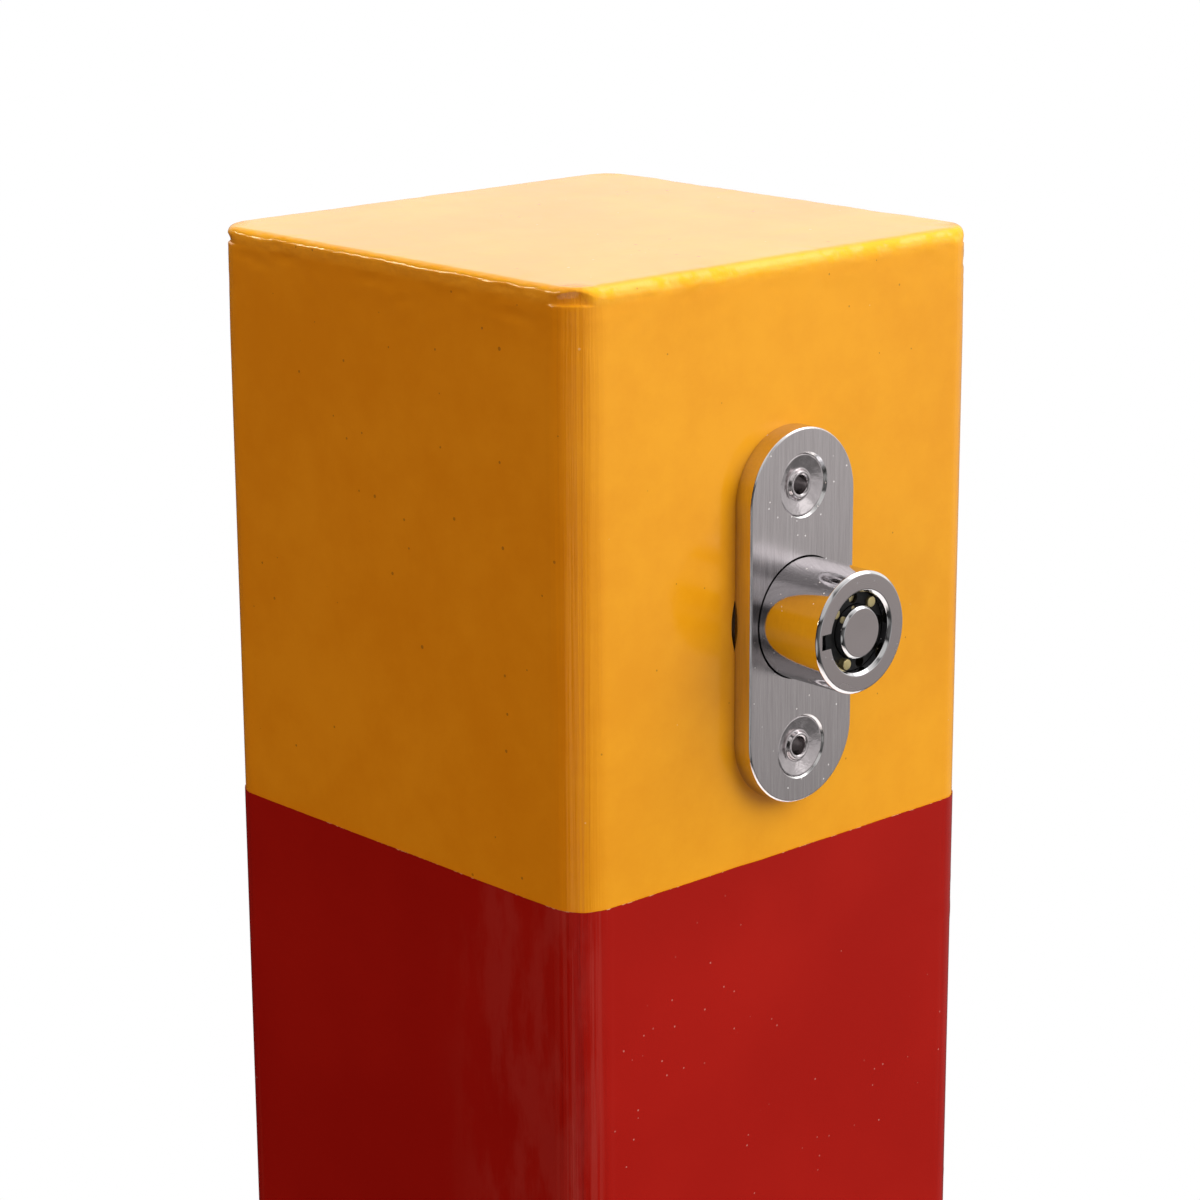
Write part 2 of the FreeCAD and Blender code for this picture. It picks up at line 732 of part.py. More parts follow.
def make_lock_barrel():
    """Housing of the plunger; its narrower neck meets the plate's back inside the post's wall."""
    body = new_body("lock_barrel", z=lock_height)
    outer = Sizes.barrel_dia / 2
    neck = Sizes.neck_dia / 2
    shoulder = shield_back + Sizes.neck_length
    bore = barrel_bore / 2
    hole = Sizes.latch_dia / 2 + Sizes.latch_clearance
    sketch = sketch_on(body, "YZ_Plane")
    points = [
        (shield_back, bore), (barrel_floor, bore), (barrel_floor, hole), (barrel_back, hole),
        (barrel_back, outer), (shoulder, outer), (shoulder, neck), (shield_back, neck),
    ]
    outline(sketch, points)
    revolve(body, sketch)
    cross = sketch_on(body, "XY_Plane")
    circle(cross, 0, retainer_y, Sizes.retainer_dia + Sizes.tumbler_clearance * 2)
    pocket(body, cross, outer, backwards=True)


def make_retaining_pin():
    """Pin through the barrel's wall into the plunger's slot."""
    body = new_body("retaining_pin", z=lock_height)
    low = Sizes.plunger_dia / 2 - Sizes.retainer_depth
    sketch = sketch_on(body, "XY_Plane", depth=low)
    circle(sketch, 0, retainer_y, Sizes.retainer_dia)
    pad(body, sketch, Sizes.barrel_dia / 2 - low)


def make_lock_plunger():
    """Turned plunger with the keyway in its face, a spring hole in its back and a slot for the pin."""
    body = new_body("lock_plunger", z=lock_height)
    outer = Sizes.plunger_dia / 2
    keyway = Sizes.keyway_dia / 2
    edge = Sizes.plunger_edge
    hole = spring_hole / 2
    stud = Sizes.stud_dia / 2 + Sizes.stud_clearance
    sketch = sketch_on(body, "YZ_Plane")
    points = [
        (plunger_front, keyway), (core_back, keyway), (core_back, stud), (web_back, stud), (web_back, hole),
        (plunger_back, hole), (plunger_back, outer), (plunger_front + edge, outer),
        (plunger_front, outer - edge),
    ]
    outline(sketch, points)
    revolve(body, sketch)
    notch = sketch_on(body, "XZ_Plane", depth=-plunger_front)
    half = Sizes.notch_width / 2
    rectangle(notch, -(keyway + Sizes.notch_depth), -half, -(keyway - Sizes.notch_depth), half)
    pocket(body, notch, Sizes.notch_length)
    # The slot is as long as the stroke and keeps its pin clear at both ends.
    reach = Sizes.retainer_dia / 2 + Sizes.retainer_clearance
    floor = outer - Sizes.retainer_depth - Sizes.retainer_clearance
    slot = sketch_on(body, "XY_Plane", depth=floor)
    rectangle(slot, -reach, retainer_y - Sizes.lock_stroke - reach, reach, retainer_y + reach)
    pocket(body, slot, Sizes.retainer_depth * 2, backwards=True)


def make_core_spindle():
    """The key post in the middle of the keyway."""
    body = new_body("core_spindle", z=lock_height)
    radius = Sizes.spindle_dia / 2
    edge = Sizes.spindle_edge
    back = core_back - Sizes.core_clearance
    sketch = sketch_on(body, "YZ_Plane")
    points = [
        (plunger_front, 0), (back, 0), (back, radius), (plunger_front + edge, radius),
        (plunger_front, radius - edge),
    ]
    outline(sketch, points)
    revolve(body, sketch)


def make_core_ring():
    """The tumbler ring at the bottom of the keyway, with a hole for each pin."""
    body = new_body("core_ring", z=lock_height)
    inner = Sizes.spindle_dia / 2 + Sizes.core_clearance
    outer = Sizes.keyway_dia / 2 - Sizes.core_clearance
    sketch = sketch_on(body, "YZ_Plane")
    rectangle(sketch, keyway_floor, inner, core_back - Sizes.core_clearance, outer)
    revolve(body, sketch)
    holes = sketch_on(body, "XZ_Plane", depth=-keyway_floor)
    for turn, _ in TUMBLERS:
        across = Sizes.tumbler_circle / 2 * math.cos(math.radians(turn))
        up = Sizes.tumbler_circle / 2 * math.sin(math.radians(turn))
        circle(holes, across, up, Sizes.tumbler_dia + Sizes.tumbler_clearance * 2)
    pocket(body, holes, Sizes.core_depth)


def make_tumbler_pins():
    """Pins in the ring's holes, some standing out of it and some pushed back."""
    pins = []
    back = core_back - Sizes.core_clearance
    for turn, share in TUMBLERS:
        pin = document.addObject("Part::Cylinder", "tumbler_pin")
        front = keyway_floor - Sizes.tumbler_rise * share
        across = Sizes.tumbler_circle / 2 * math.cos(math.radians(turn))
        up = Sizes.tumbler_circle / 2 * math.sin(math.radians(turn))
        pin.setExpression("Radius", (Sizes.tumbler_dia / 2).formula)
        pin.setExpression("Height", (back - front).formula)
        pin.Placement.Rotation = FreeCAD.Rotation(FreeCAD.Vector(1, 0, 0), -90)
        pin.setExpression("Placement.Base.x", across.formula)
        pin.setExpression("Placement.Base.y", front.formula)
        pin.setExpression("Placement.Base.z", up.formula)
        pins.append(pin)
    group = document.addObject("Part::Compound", "tumbler_pins")
    group.Label = "tumbler_pins"
    group.Links = pins
    group.setExpression("Placement.Base.z", lock_height.formula)
    sub_parts.append(group)


def make_latch_bolt():
    """Bolt on the plunger's back; its bevelled end pushes the cam head down."""
    body = new_body("latch_bolt", z=lock_height)
    radius = Sizes.latch_dia / 2
    stud = Sizes.stud_dia / 2
    sketch = sketch_on(body, "YZ_Plane")
    points = [
        (core_back, 0), (latch_tip, 0), (latch_tip, radius), (web_back, radius), (web_back, stud),
        (core_back, stud),
    ]
    outline(sketch, points)
    revolve(body, sketch)
    bevel = sketch_on(body, "YZ_Plane")
    below = latch_tip - Sizes.latch_dia
    outline(bevel, [(below, -radius), (latch_tip, -radius), (latch_tip, radius)])
    pocket(body, bevel, Sizes.latch_dia, symmetric=True)


def make_plunger_spring():
    """Sleeve of the coil round the latch bolt that pushes the plunger out."""
    body = new_body("plunger_spring", z=lock_height)
    inner = Sizes.latch_dia / 2 + Sizes.push_clearance
    play = Sizes.spring_play
    sketch = sketch_on(body, "YZ_Plane")
    rectangle(sketch, web_back + play, inner, barrel_floor - play, inner + Sizes.push_wire)
    revolve(body, sketch)


make_base_plate()
make_hinge_cheek("hinge_cheek_left", -1)
make_hinge_cheek("hinge_cheek_right", 1)
make_cheek_welds()
thrust_thickness = Sizes.cheek_gap - Sizes.thrust_play
make_ring("thrust_washers", hinge_bore, Sizes.thrust_dia, cheek_inside - thrust_thickness, thrust_thickness)
make_ring("hinge_washers", hinge_bore, Sizes.washer_dia, cheek_outside, Sizes.washer_thickness)
make_hinge_bolt()
make_hinge_nut()
make_keeper_bar()
make_seat_pad()
make_post_tube()
make_top_cap()
make_red_band("red_band_upper", 0)
make_red_band("red_band_middle", 0.5)
make_red_band("red_band_lower", 1)
make_pivot_tube()
make_guide("upper_guide", upper_guide_top - Sizes.guide_thickness)
make_guide("lower_guide", lower_guide_top - Sizes.guide_thickness)
make_locking_rod()
make_cam_head()
make_cam_pin()
make_return_spring()
make_lock_plate()
make_plate_rivets()
make_rivet_mandrels()
make_lock_barrel()
make_retaining_pin()
make_lock_plunger()
make_core_spindle()
make_core_ring()
make_tumbler_pins()
make_latch_bolt()
make_plunger_spring()

document.recompute()
for item in document.Objects:
    if "Invalid" in item.State or "Error" in item.State:
        raise RuntimeError(f"{item.Label} was not built: {item.State}")
for sub_part in sub_parts:
    if sub_part.Shape.isNull() or not sub_part.Shape.isValid():
        raise RuntimeError(f"{sub_part.Label} has no valid shape")

os.makedirs("parts", exist_ok=True)
for sub_part in sub_parts:
    sub_part.Shape.exportStep(f"parts/{sub_part.Label}.step")
    print(sub_part.Label, len(sub_part.Shape.Solids), "solids", round(sub_part.Shape.Volume, 2), "mm3")
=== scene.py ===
# %% [markdown]
# # A folding parking bollard
# The post is a square steel tube with a plate welded on its end, coated yellow, with red bands round it. A
# push lock near the top drops a rod that keeps the post from folding. The solids of all pieces come from the
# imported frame. This lesson makes finer meshes where a mirror-like surface would show the facets of a solid's
# own mesh, and gives them the finish that the photograph shows. The other solids keep the plain materials of
# the frame and get softer edges.

# %% Load the frame
import math
import random

import bmesh
import bpy
from mathutils import Matrix, Vector, noise


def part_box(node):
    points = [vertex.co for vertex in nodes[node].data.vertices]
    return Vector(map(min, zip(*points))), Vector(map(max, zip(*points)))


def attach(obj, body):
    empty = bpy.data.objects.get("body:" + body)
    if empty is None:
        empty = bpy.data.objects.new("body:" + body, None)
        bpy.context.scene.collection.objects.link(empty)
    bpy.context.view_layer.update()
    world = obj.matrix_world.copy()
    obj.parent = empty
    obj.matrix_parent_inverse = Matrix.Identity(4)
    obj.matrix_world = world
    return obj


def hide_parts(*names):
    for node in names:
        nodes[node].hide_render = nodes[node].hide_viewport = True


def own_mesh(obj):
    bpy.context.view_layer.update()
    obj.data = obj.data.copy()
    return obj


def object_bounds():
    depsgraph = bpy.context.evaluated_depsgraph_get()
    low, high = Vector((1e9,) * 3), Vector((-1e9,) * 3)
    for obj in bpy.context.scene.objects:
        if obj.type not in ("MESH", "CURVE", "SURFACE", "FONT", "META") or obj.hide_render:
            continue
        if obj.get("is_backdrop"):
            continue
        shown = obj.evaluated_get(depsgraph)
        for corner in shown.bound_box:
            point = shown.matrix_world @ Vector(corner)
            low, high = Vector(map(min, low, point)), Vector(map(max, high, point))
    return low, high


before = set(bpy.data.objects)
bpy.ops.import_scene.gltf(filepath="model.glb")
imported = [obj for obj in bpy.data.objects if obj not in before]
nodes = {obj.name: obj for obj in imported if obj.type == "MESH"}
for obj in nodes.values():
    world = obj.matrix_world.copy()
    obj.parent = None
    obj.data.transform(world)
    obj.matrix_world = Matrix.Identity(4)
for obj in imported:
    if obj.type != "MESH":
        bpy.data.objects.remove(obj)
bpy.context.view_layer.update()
MM = 0.001

# %% [markdown]
# ## Camera
# The photograph was taken from close by, a little above the head, with the front corner of the post towards
# the camera. The camera's place is measured from the centre of the post's top and turned by three angles:
# round the post, above the horizon, and a slight roll of the hand-held camera.

# %% Camera
POST_TOP = Vector((0, 0, 0.9))
AZIMUTH, ELEVATION, ROLL = (math.radians(angle) for angle in (-42.538, 15.24, -0.291))
LENS, SENSOR = 101.106, 36.0
DISTANCE, SHIFT_RIGHT, SHIFT_UP = 432.655 * MM, 0.48 * MM, -48.36 * MM

level_right = Vector((math.cos(AZIMUTH), math.sin(AZIMUTH), 0))
level_back = Vector((math.sin(AZIMUTH), -math.cos(AZIMUTH), 0))
back = level_back * math.cos(ELEVATION) + Vector((0, 0, math.sin(ELEVATION)))
level_up = back.cross(level_right)
right = level_right * math.cos(ROLL) + level_up * math.sin(ROLL)
up = level_up * math.cos(ROLL) - level_right * math.sin(ROLL)
camera_data = bpy.data.cameras.new("camera")
camera_data.lens, camera_data.sensor_width, camera_data.sensor_fit = LENS, SENSOR, "HORIZONTAL"
camera_data.clip_start, camera_data.clip_end = 0.01, 100
camera = bpy.data.objects.new("camera", camera_data)
place = POST_TOP + back * DISTANCE + level_right * SHIFT_RIGHT + level_up * SHIFT_UP
camera.matrix_world = Matrix.Translation(place) @ Matrix((right, up, back)).transposed().to_4x4()
bpy.context.scene.collection.objects.link(camera)
bpy.context.scene.camera = camera
bpy.context.scene.view_settings.view_transform = "Standard"
print("camera at", [round(value, 4) for value in place])

# %% [markdown]
# ## Helpers for node trees
# A node tree is easier to read when each node is one line that names its kind, what goes into it and how it
# is set. A value that is itself a socket is linked, and any other value is written on the socket. A socket
# knows its tree, so most helpers find it by themselves.

# %% Node helpers
def fill(tree, node, inputs):
    for name, value in inputs.items():
        if isinstance(value, bpy.types.NodeSocket):
            tree.links.new(value, node.inputs[name])
        else:
            node.inputs[name].default_value = value


def put(tree, kind, inputs=None, **settings):
    node = tree.nodes.new("ShaderNode" + kind)
    for name, value in settings.items():
        setattr(node, name, value)
    fill(tree, node, inputs or {})
    return node


def math_of(operation, *values):
    tree = next(value.id_data for value in values if isinstance(value, bpy.types.NodeSocket))
    return put(tree, "Math", dict(enumerate(values)), operation=operation).outputs[0]


def times(first, second):
    return math_of("MULTIPLY", first, second)


def plus(first, second):
    return math_of("ADD", first, second)


def minus(first, second):
    return math_of("SUBTRACT", first, second)


def ramp_of(value, low, high, to_low=0.0, to_high=1.0):
    inputs = {"Value": value, "From Min": low, "From Max": high, "To Min": to_low, "To Max": to_high}
    return put(value.id_data, "MapRange", inputs, interpolation_type="SMOOTHSTEP").outputs[0]


def blend_of(factor, first, second):
    return put(factor.id_data, "Mix", {0: factor, 6: first, 7: second}, data_type="RGBA").outputs[2]


def layer(below, mask, share, colour):
    """A colour laid over another where the mask is, as strongly as the share says."""
    return blend_of(times(mask, share), below, colour)


def vector_of(operation, first, *others, output=0):
    inputs = dict(enumerate((first, *others)))
    return put(first.id_data, "VectorMath", inputs, operation=operation).outputs[output]


def along_of(vector, direction):
    """How far a vector points along a direction."""
    return vector_of("DOT_PRODUCT", vector, direction, output="Value")


def noise_of(vector, scale, detail=2.0, rough=0.5):
    inputs = {"Vector": vector, "Scale": scale, "Detail": detail, "Roughness": rough}
    return put(vector.id_data, "TexNoise", inputs).outputs["Fac"]


def effect(name, inputs, outputs):
    tree = bpy.data.node_groups.new(name, "ShaderNodeTree")
    for label, value in inputs.items():
        kind = "NodeSocketVector" if isinstance(value, tuple) else "NodeSocketFloat"
        tree.interface.new_socket(name=label, in_out="INPUT", socket_type=kind).default_value = value
    for label in outputs:
        tree.interface.new_socket(name=label, in_out="OUTPUT", socket_type="NodeSocketFloat")
    entry = tree.nodes.new("NodeGroupInput")
    leave = tree.nodes.new("NodeGroupOutput")
    return tree, entry.outputs, leave.inputs


def use(tree, group, **inputs):
    node = tree.nodes.new("ShaderNodeGroup")
    node.node_tree = group
    fill(tree, node, {name.replace("_", " "): value for name, value in inputs.items()})
    return node.outputs


def new_material(name):
    material = bpy.data.materials.new(name)
    material.use_nodes = True
    tree = material.node_tree
    shader = tree.nodes["Principled BSDF"]
    spot = put(tree, "TexCoord").outputs["Object"]
    return material, tree, shader, spot


def finish_with(tree, shader, height, distance, **inputs):
    """The last step of a finish: bumps of a given height, and what else goes into the shader."""
    bump = put(tree, "Bump", {"Height": height, "Distance": distance, "Strength": 1.0})
    fill(tree, shader, {name.replace("_", " "): value for name, value in inputs.items()})
    fill(tree, shader, {"Normal": bump.outputs[0]})


print("node helpers ready")

# %% [markdown]
# ## Effects that several finishes share
# A sprayed or baked coat is never quite flat: it keeps a fine skin like an orange's and a slower wave from
# the steel under it. Dust and pits are sparse dots: a cell pattern gives each dot its own chance and size.
# Brushed and drawn metal is noise that is stretched along one direction. Wear sits on edges, and a bevelled
# normal that differs from the true one finds them. Each is a group, so that every finish can use it at its
# own scale.

# %% Coat ripple
coat_ripple, given, made = effect(
    "coat_ripple", {"Skin": 800.0, "Wave": 45.0, "Wave Share": 0.6}, ["Height"])
spot = put(coat_ripple, "TexCoord").outputs["Object"]
skin = noise_of(spot, given["Skin"], 2.0)
wave = noise_of(spot, given["Wave"], 3.0)
waves = times(wave, given["Wave Share"])
coat_ripple.links.new(plus(skin, waves), made["Height"])

# %% Specks
specks, given, made = effect("specks", {"Scale": 300.0, "Share": 0.05, "Size": 0.2}, ["Mask"])
spot = put(specks, "TexCoord").outputs["Object"]
cells = put(specks, "TexVoronoi", {"Vector": spot, "Scale": given["Scale"]})
chance = put(specks, "SeparateColor", {"Color": cells.outputs["Color"]})
chosen = math_of("LESS_THAN", chance.outputs[0], given["Share"])
reach = times(given["Size"], chance.outputs[1])
inside = math_of("LESS_THAN", cells.outputs["Distance"], reach)
specks.links.new(times(chosen, inside), made["Mask"])

# %% Stretched grain
stretched_grain, given, made = effect(
    "stretched_grain", {"Stretch": (2000.0, 2000.0, 40.0)}, ["Grain", "Scratch"])
spot = put(stretched_grain, "TexCoord").outputs["Object"]
pulled = vector_of("MULTIPLY", spot, given["Stretch"])
fine = noise_of(pulled, 1.0, 4.0, 0.65)
coarse = noise_of(pulled, 0.23, 2.0)
stretched_grain.links.new(fine, made["Grain"])
stretched_grain.links.new(ramp_of(coarse, 0.60, 0.72), made["Scratch"])

# %% Edge wear
edge_wear, given, made = effect("edge_wear", {"Width": 0.001, "Break Up": 350.0}, ["Mask"])
true_normal = put(edge_wear, "NewGeometry").outputs["Normal"]
soft_normal = put(edge_wear, "Bevel", {"Radius": given["Width"]}, samples=4).outputs[0]
match = along_of(true_normal, soft_normal)
edge = ramp_of(match, 0.985, 0.90)
spot = put(edge_wear, "TexCoord").outputs["Object"]
broken = ramp_of(noise_of(spot, given["Break Up"], 4.0, 0.7), 0.42, 0.60)
edge_wear.links.new(times(edge, broken), made["Mask"])
print("effects:", [group.name for group in bpy.data.node_groups])

# %% [markdown]
# ## Yellow coat
# The post is powder coated: a deep, glossy yellow. Light on it is a mirror-like sheen over a strong colour.
# The tube was drawn through a die, so its rounded corners keep faint lines along the post, which show as
# streaks in the sheen; darker streaks are also painted into the colour there as a painted reflection. Dust
# that fell in the wet coat leaves pale specks, and gas bubbles leave dark pits. Along the top edge a paler
# band is painted in as a highlight, and the coat there is unevenly dull. Near the ground it is dusty and its
# edges are rubbed to the steel.

# %% Yellow coat
def linear(red, green, blue):
    """A colour as seen on a screen, in the numbers that the shaders use."""
    def decode(part):
        part /= 255
        return part / 12.92 if part <= 0.04045 else ((part + 0.055) / 1.055) ** 2.4
    return decode(red), decode(green), decode(blue), 1.0


def corner_mask(axes):
    """One on the post's rounded corners and nought on its flat sides."""
    sides = [ramp_of(math_of("ABSOLUTE", axes[side]), 29.0 * MM, 34.5 * MM) for side in (0, 1)]
    return times(*sides)


LINES_FROM, LINES_TO = 10.5 * MM, 13.0 * MM
EDGE_FROM, EDGE_TO = 897.2 * MM, 898.8 * MM
FLAT_FROM, FLAT_TO = 899.6 * MM, 899.85 * MM
GRIME_TOP = 160.0 * MM

yellow_paint, tree, shader, spot = new_material("yellow_paint")
ripple = use(tree, coat_ripple, Skin=620.0, Wave=38.0, Wave_Share=0.8)["Height"]
axes = put(tree, "SeparateXYZ", {"Vector": spot}).outputs
corner = times(corner_mask(axes), ramp_of(axes[2], LINES_FROM, LINES_TO))
drawn = use(tree, stretched_grain, Stretch=(900.0, 900.0, 9.0))
lines = times(drawn["Grain"], times(corner, 20.0))
pits = use(tree, specks, Scale=330.0, Share=0.75, Size=0.09)["Mask"]
dust = use(tree, specks, Scale=360.0, Share=0.3, Size=0.07)["Mask"]
cloud = ramp_of(noise_of(spot, 42.0, 7.0, 0.68), 0.32, 0.70)
coat = blend_of(cloud, linear(230, 153, 15), linear(239, 165, 24))
# Darker streaks on the rounded corners are a painted reflection of the streaks in the sheen.
reflection_streak = times(ramp_of(drawn["Grain"], 0.50, 0.62), corner)
coat = layer(coat, reflection_streak, 0.4, linear(206, 128, 20))
# The paler band along the top edge is a painted highlight; the same band is also dulled and roughened further
# down.
at_edge = times(ramp_of(axes[2], EDGE_FROM, EDGE_TO), ramp_of(axes[2], FLAT_TO, FLAT_FROM))
coat = layer(coat, at_edge, 0.4, linear(253, 195, 62))
coat = layer(coat, pits, 0.45, linear(92, 52, 14))
coat = layer(coat, dust, 0.4, linear(252, 228, 172))
low = ramp_of(axes[2], GRIME_TOP, 0.0)
grime = times(low, ramp_of(noise_of(spot, 60.0, 5.0, 0.65), 0.45, 0.75))
coat = layer(coat, grime, 0.5, linear(120, 96, 60))
worn = times(use(tree, edge_wear, Width=0.0011, Break_Up=260.0)["Mask"], low)
coat = layer(coat, worn, 0.8, linear(112, 106, 100))
gloss = ramp_of(noise_of(spot, 300.0, 3.0), 0.3, 0.7, 0.10, 0.15)
gloss = plus(gloss, times(grime, 0.45))
patchy = ramp_of(noise_of(spot, 420.0, 3.0, 0.6), 0.45, 0.58)
dulled = times(times(at_edge, patchy), 0.36)
uneven = minus(noise_of(spot, 800.0, 2.0), 0.5)
rough_edge = times(uneven, times(at_edge, 7.0))
height = plus(plus(ripple, lines), rough_edge)
height = minus(height, times(pits, 2.0))
height = plus(height, times(dust, 1.2))
finish_with(tree, shader, height, 0.000016, Base_Color=coat, Roughness=gloss,
            Specular_IOR_Level=minus(0.4, dulled))
print("yellow coat:", len(tree.nodes), "nodes")

# %% [markdown]
# ## Red film
# The bands are glossy adhesive film. It is thinner and smoother than the coat, so reflections in it are
# sharper, but it shows dust under it as small bumps, and air that was not pressed out as blisters along the
# corners, where the film is stretched round the bend. On the corners, darker and paler streaks are painted in
# as reflections. On the left face, near the front corner, it is rubbed a little paler. Along its cut edges a
# thin pale line is painted in as the highlight of the film's raised edge.

# %% Red film
BANDS = ("red_band_upper", "red_band_middle", "red_band_lower")
cut_edges = [corner.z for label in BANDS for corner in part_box(label)]
red_film, tree, shader, spot = new_material("red_film")
ripple = use(tree, coat_ripple, Skin=520.0, Wave=55.0, Wave_Share=1.0)["Height"]
axes = put(tree, "SeparateXYZ", {"Vector": spot}).outputs
corner = corner_mask(axes)
drawn = use(tree, stretched_grain, Stretch=(800.0, 800.0, 8.0))
lines = times(drawn["Grain"], times(corner, 20.0))
lumps = use(tree, specks, Scale=210.0, Share=0.03, Size=0.22)["Mask"]
dust = use(tree, specks, Scale=600.0, Share=0.8, Size=0.085)["Mask"]
dust = times(dust, ramp_of(noise_of(spot, 48.0, 2.0), 0.56, 0.62))
cloud = ramp_of(noise_of(spot, 30.0, 3.0), 0.35, 0.68)
film = blend_of(cloud, linear(160, 22, 14), linear(168, 26, 17))
# Darker and paler streaks on the corners are a painted reflection of the film's sheen.
dark_reflection_streak = times(ramp_of(drawn["Grain"], 0.50, 0.60), corner)
pale_reflection_streak = times(ramp_of(drawn["Grain"], 0.46, 0.38), corner)
film = layer(film, dark_reflection_streak, 0.55, linear(112, 10, 8))
film = layer(film, pale_reflection_streak, 0.3, linear(186, 84, 76))
left_face, front_part = ramp_of(axes[0], -0.030, -0.0348), ramp_of(axes[1], -0.006, -0.022)
wiped = use(tree, stretched_grain, Stretch=(210.0, 210.0, 70.0))["Grain"]
rubbed = times(times(left_face, front_part), ramp_of(wiped, 0.40, 0.62))
film = layer(film, rubbed, 0.09, linear(205, 110, 104))
film = layer(film, dust, 0.32, linear(235, 180, 168))
# A thin pale line along each cut edge is a painted highlight on the film's raised edge.
ragged = noise_of(spot, 900.0, 3.0, 0.7)
reach = times(minus(ragged, 0.4), 0.7 * MM)
for place_z in cut_edges:
    away = math_of("ABSOLUTE", minus(axes[2], place_z))
    film = layer(film, math_of("LESS_THAN", away, reach), 0.55, linear(250, 214, 160))
gloss = ramp_of(noise_of(spot, 260.0, 3.0), 0.3, 0.7, 0.07, 0.12)
height = plus(plus(ripple, lines), times(lumps, 0.9))
finish_with(tree, shader, height, 0.000010, Base_Color=film, Roughness=gloss, Specular_IOR_Level=0.12)
print("red film:", len(tree.nodes), "nodes")

# %% [markdown]
# ## Bright metals of the lock
# The shield plate is steel brushed along its length. The plunger is turned and chromed, so its side mirrors
# the post, and its face keeps fine marks. The rivets are soft aluminium that the setting tool has pressed and
# polished. All are metals: their colour is the colour of their reflections, and roughness sets how sharp they
# are. On the narrow edges of the plate and the plunger a paler colour is painted in as a highlight.

# %% Lock metals
brushed_plate, tree, shader, spot = new_material("brushed_plate")
grain = use(tree, stretched_grain, Stretch=(5200.0, 5200.0, 160.0))
cloud = noise_of(spot, 140.0, 3.0)
steel = blend_of(grain["Grain"], linear(186, 177, 177), linear(236, 228, 228))
steel = layer(steel, grain["Scratch"], 0.18, linear(238, 234, 232))
dust = use(tree, specks, Scale=800.0, Share=0.5, Size=0.12)["Mask"]
steel = layer(steel, dust, 0.7, linear(250, 248, 246))
facing = along_of(put(tree, "NewGeometry").outputs["True Normal"], (0.0, 1.0, 0.0))
# The paler rim on the plate's narrow edges is a painted highlight.
rim = times(ramp_of(facing, -0.97, -0.85), ramp_of(facing, -0.15, -0.35))
steel = layer(steel, rim, 0.8, linear(246, 244, 243))
gloss = plus(ramp_of(cloud, 0.3, 0.7, 0.15, 0.20), times(grain["Grain"], 0.1))
gloss = minus(gloss, times(rim, 0.1))
bare = minus(1.0, times(dust, 0.7))
finish_with(tree, shader, grain["Grain"], 0.000016, Base_Color=steel, Roughness=gloss, Metallic=bare)

LOCK_Z = 855.15
chrome, tree, shader, spot = new_material("chrome")
grain = use(tree, stretched_grain, Stretch=(700.0, 4200.0, 700.0))
marks = use(tree, specks, Scale=900.0, Share=0.06, Size=0.2)["Mask"]
facing = along_of(put(tree, "NewGeometry").outputs["True Normal"], (0.0, 1.0, 0.0))
turned_face = ramp_of(facing, -0.9, -0.98)
from_axis = vector_of("SUBTRACT", spot, (0.0, 0.0, LOCK_Z * MM))
radius = vector_of("LENGTH", vector_of("MULTIPLY", from_axis, (1.0, 0.0, 1.0)), output="Value")
rings = noise_of(put(tree, "CombineXYZ", {0: radius}).outputs[0], 9000.0, 3.0)
tint = blend_of(grain["Grain"], linear(196, 195, 199), linear(216, 215, 218))
tint = blend_of(turned_face, tint, linear(196, 185, 184))
# The paler rim on the plunger's chamfers is a painted highlight.
rim = times(ramp_of(facing, -0.93, -0.85), ramp_of(facing, -0.15, -0.35))
tint = layer(tint, rim, 0.9, linear(236, 234, 234))
gloss = plus(times(grain["Scratch"], 0.08), 0.06)
gloss = plus(gloss, times(marks, 0.12))
gloss = plus(gloss, times(turned_face, 0.16))
height = times(grain["Grain"], minus(1.0, turned_face))
height = plus(height, times(times(rings, turned_face), 3.0))
dust = use(tree, specks, Scale=1100.0, Share=0.5, Size=0.12)["Mask"]
tint = blend_of(dust, tint, linear(250, 249, 248))
bare = minus(1.0, times(dust, 0.7))
finish_with(tree, shader, height, 0.0000035, Base_Color=tint, Roughness=gloss, Metallic=bare)

rivet_alloy, tree, shader, spot = new_material("rivet_alloy")
press = noise_of(spot, 900.0, 3.0, 0.6)
marks = use(tree, specks, Scale=1500.0, Share=0.2, Size=0.3)["Mask"]
alloy = blend_of(press, linear(198, 190, 191), linear(224, 216, 217))
alloy = layer(alloy, marks, 0.25, linear(150, 147, 146))
gloss = ramp_of(press, 0.3, 0.7, 0.12, 0.24)
finish_with(tree, shader, press, 0.00006, Base_Color=alloy, Roughness=gloss, Metallic=1.0)
print("lock metals ready")

# %% [markdown]
# ## Spring steel
# The springs are dark and oily, with brown patches and edges that are rubbed pale.

# %% Spring steel
spring_steel, tree, shader, spot = new_material("spring_steel")
grain = use(tree, stretched_grain, Stretch=(1500.0, 1500.0, 1500.0))["Grain"]
bloom = noise_of(spot, 180.0, 5.0, 0.65)
metal = blend_of(bloom, linear(58, 58, 62), linear(92, 92, 96))
patches = ramp_of(noise_of(spot, 95.0, 6.0, 0.7), 0.52, 0.72)
metal = layer(metal, patches, 0.3, linear(74, 60, 46))
worn = use(tree, edge_wear, Width=0.0006, Break_Up=500.0)["Mask"]
metal = layer(metal, worn, 0.4, linear(214, 212, 208))
gloss = ramp_of(bloom, 0.3, 0.7, 0.22, 0.36)
finish_with(tree, shader, grain, 0.00001, Base_Color=metal, Roughness=gloss, Metallic=1.0)
print("spring steel:", len(tree.nodes), "nodes")

# %% [markdown]
# ## Materials of the keyway
# The keyway's ring is dark moulded plastic, and its pins are brass. Each has its own small unevenness.

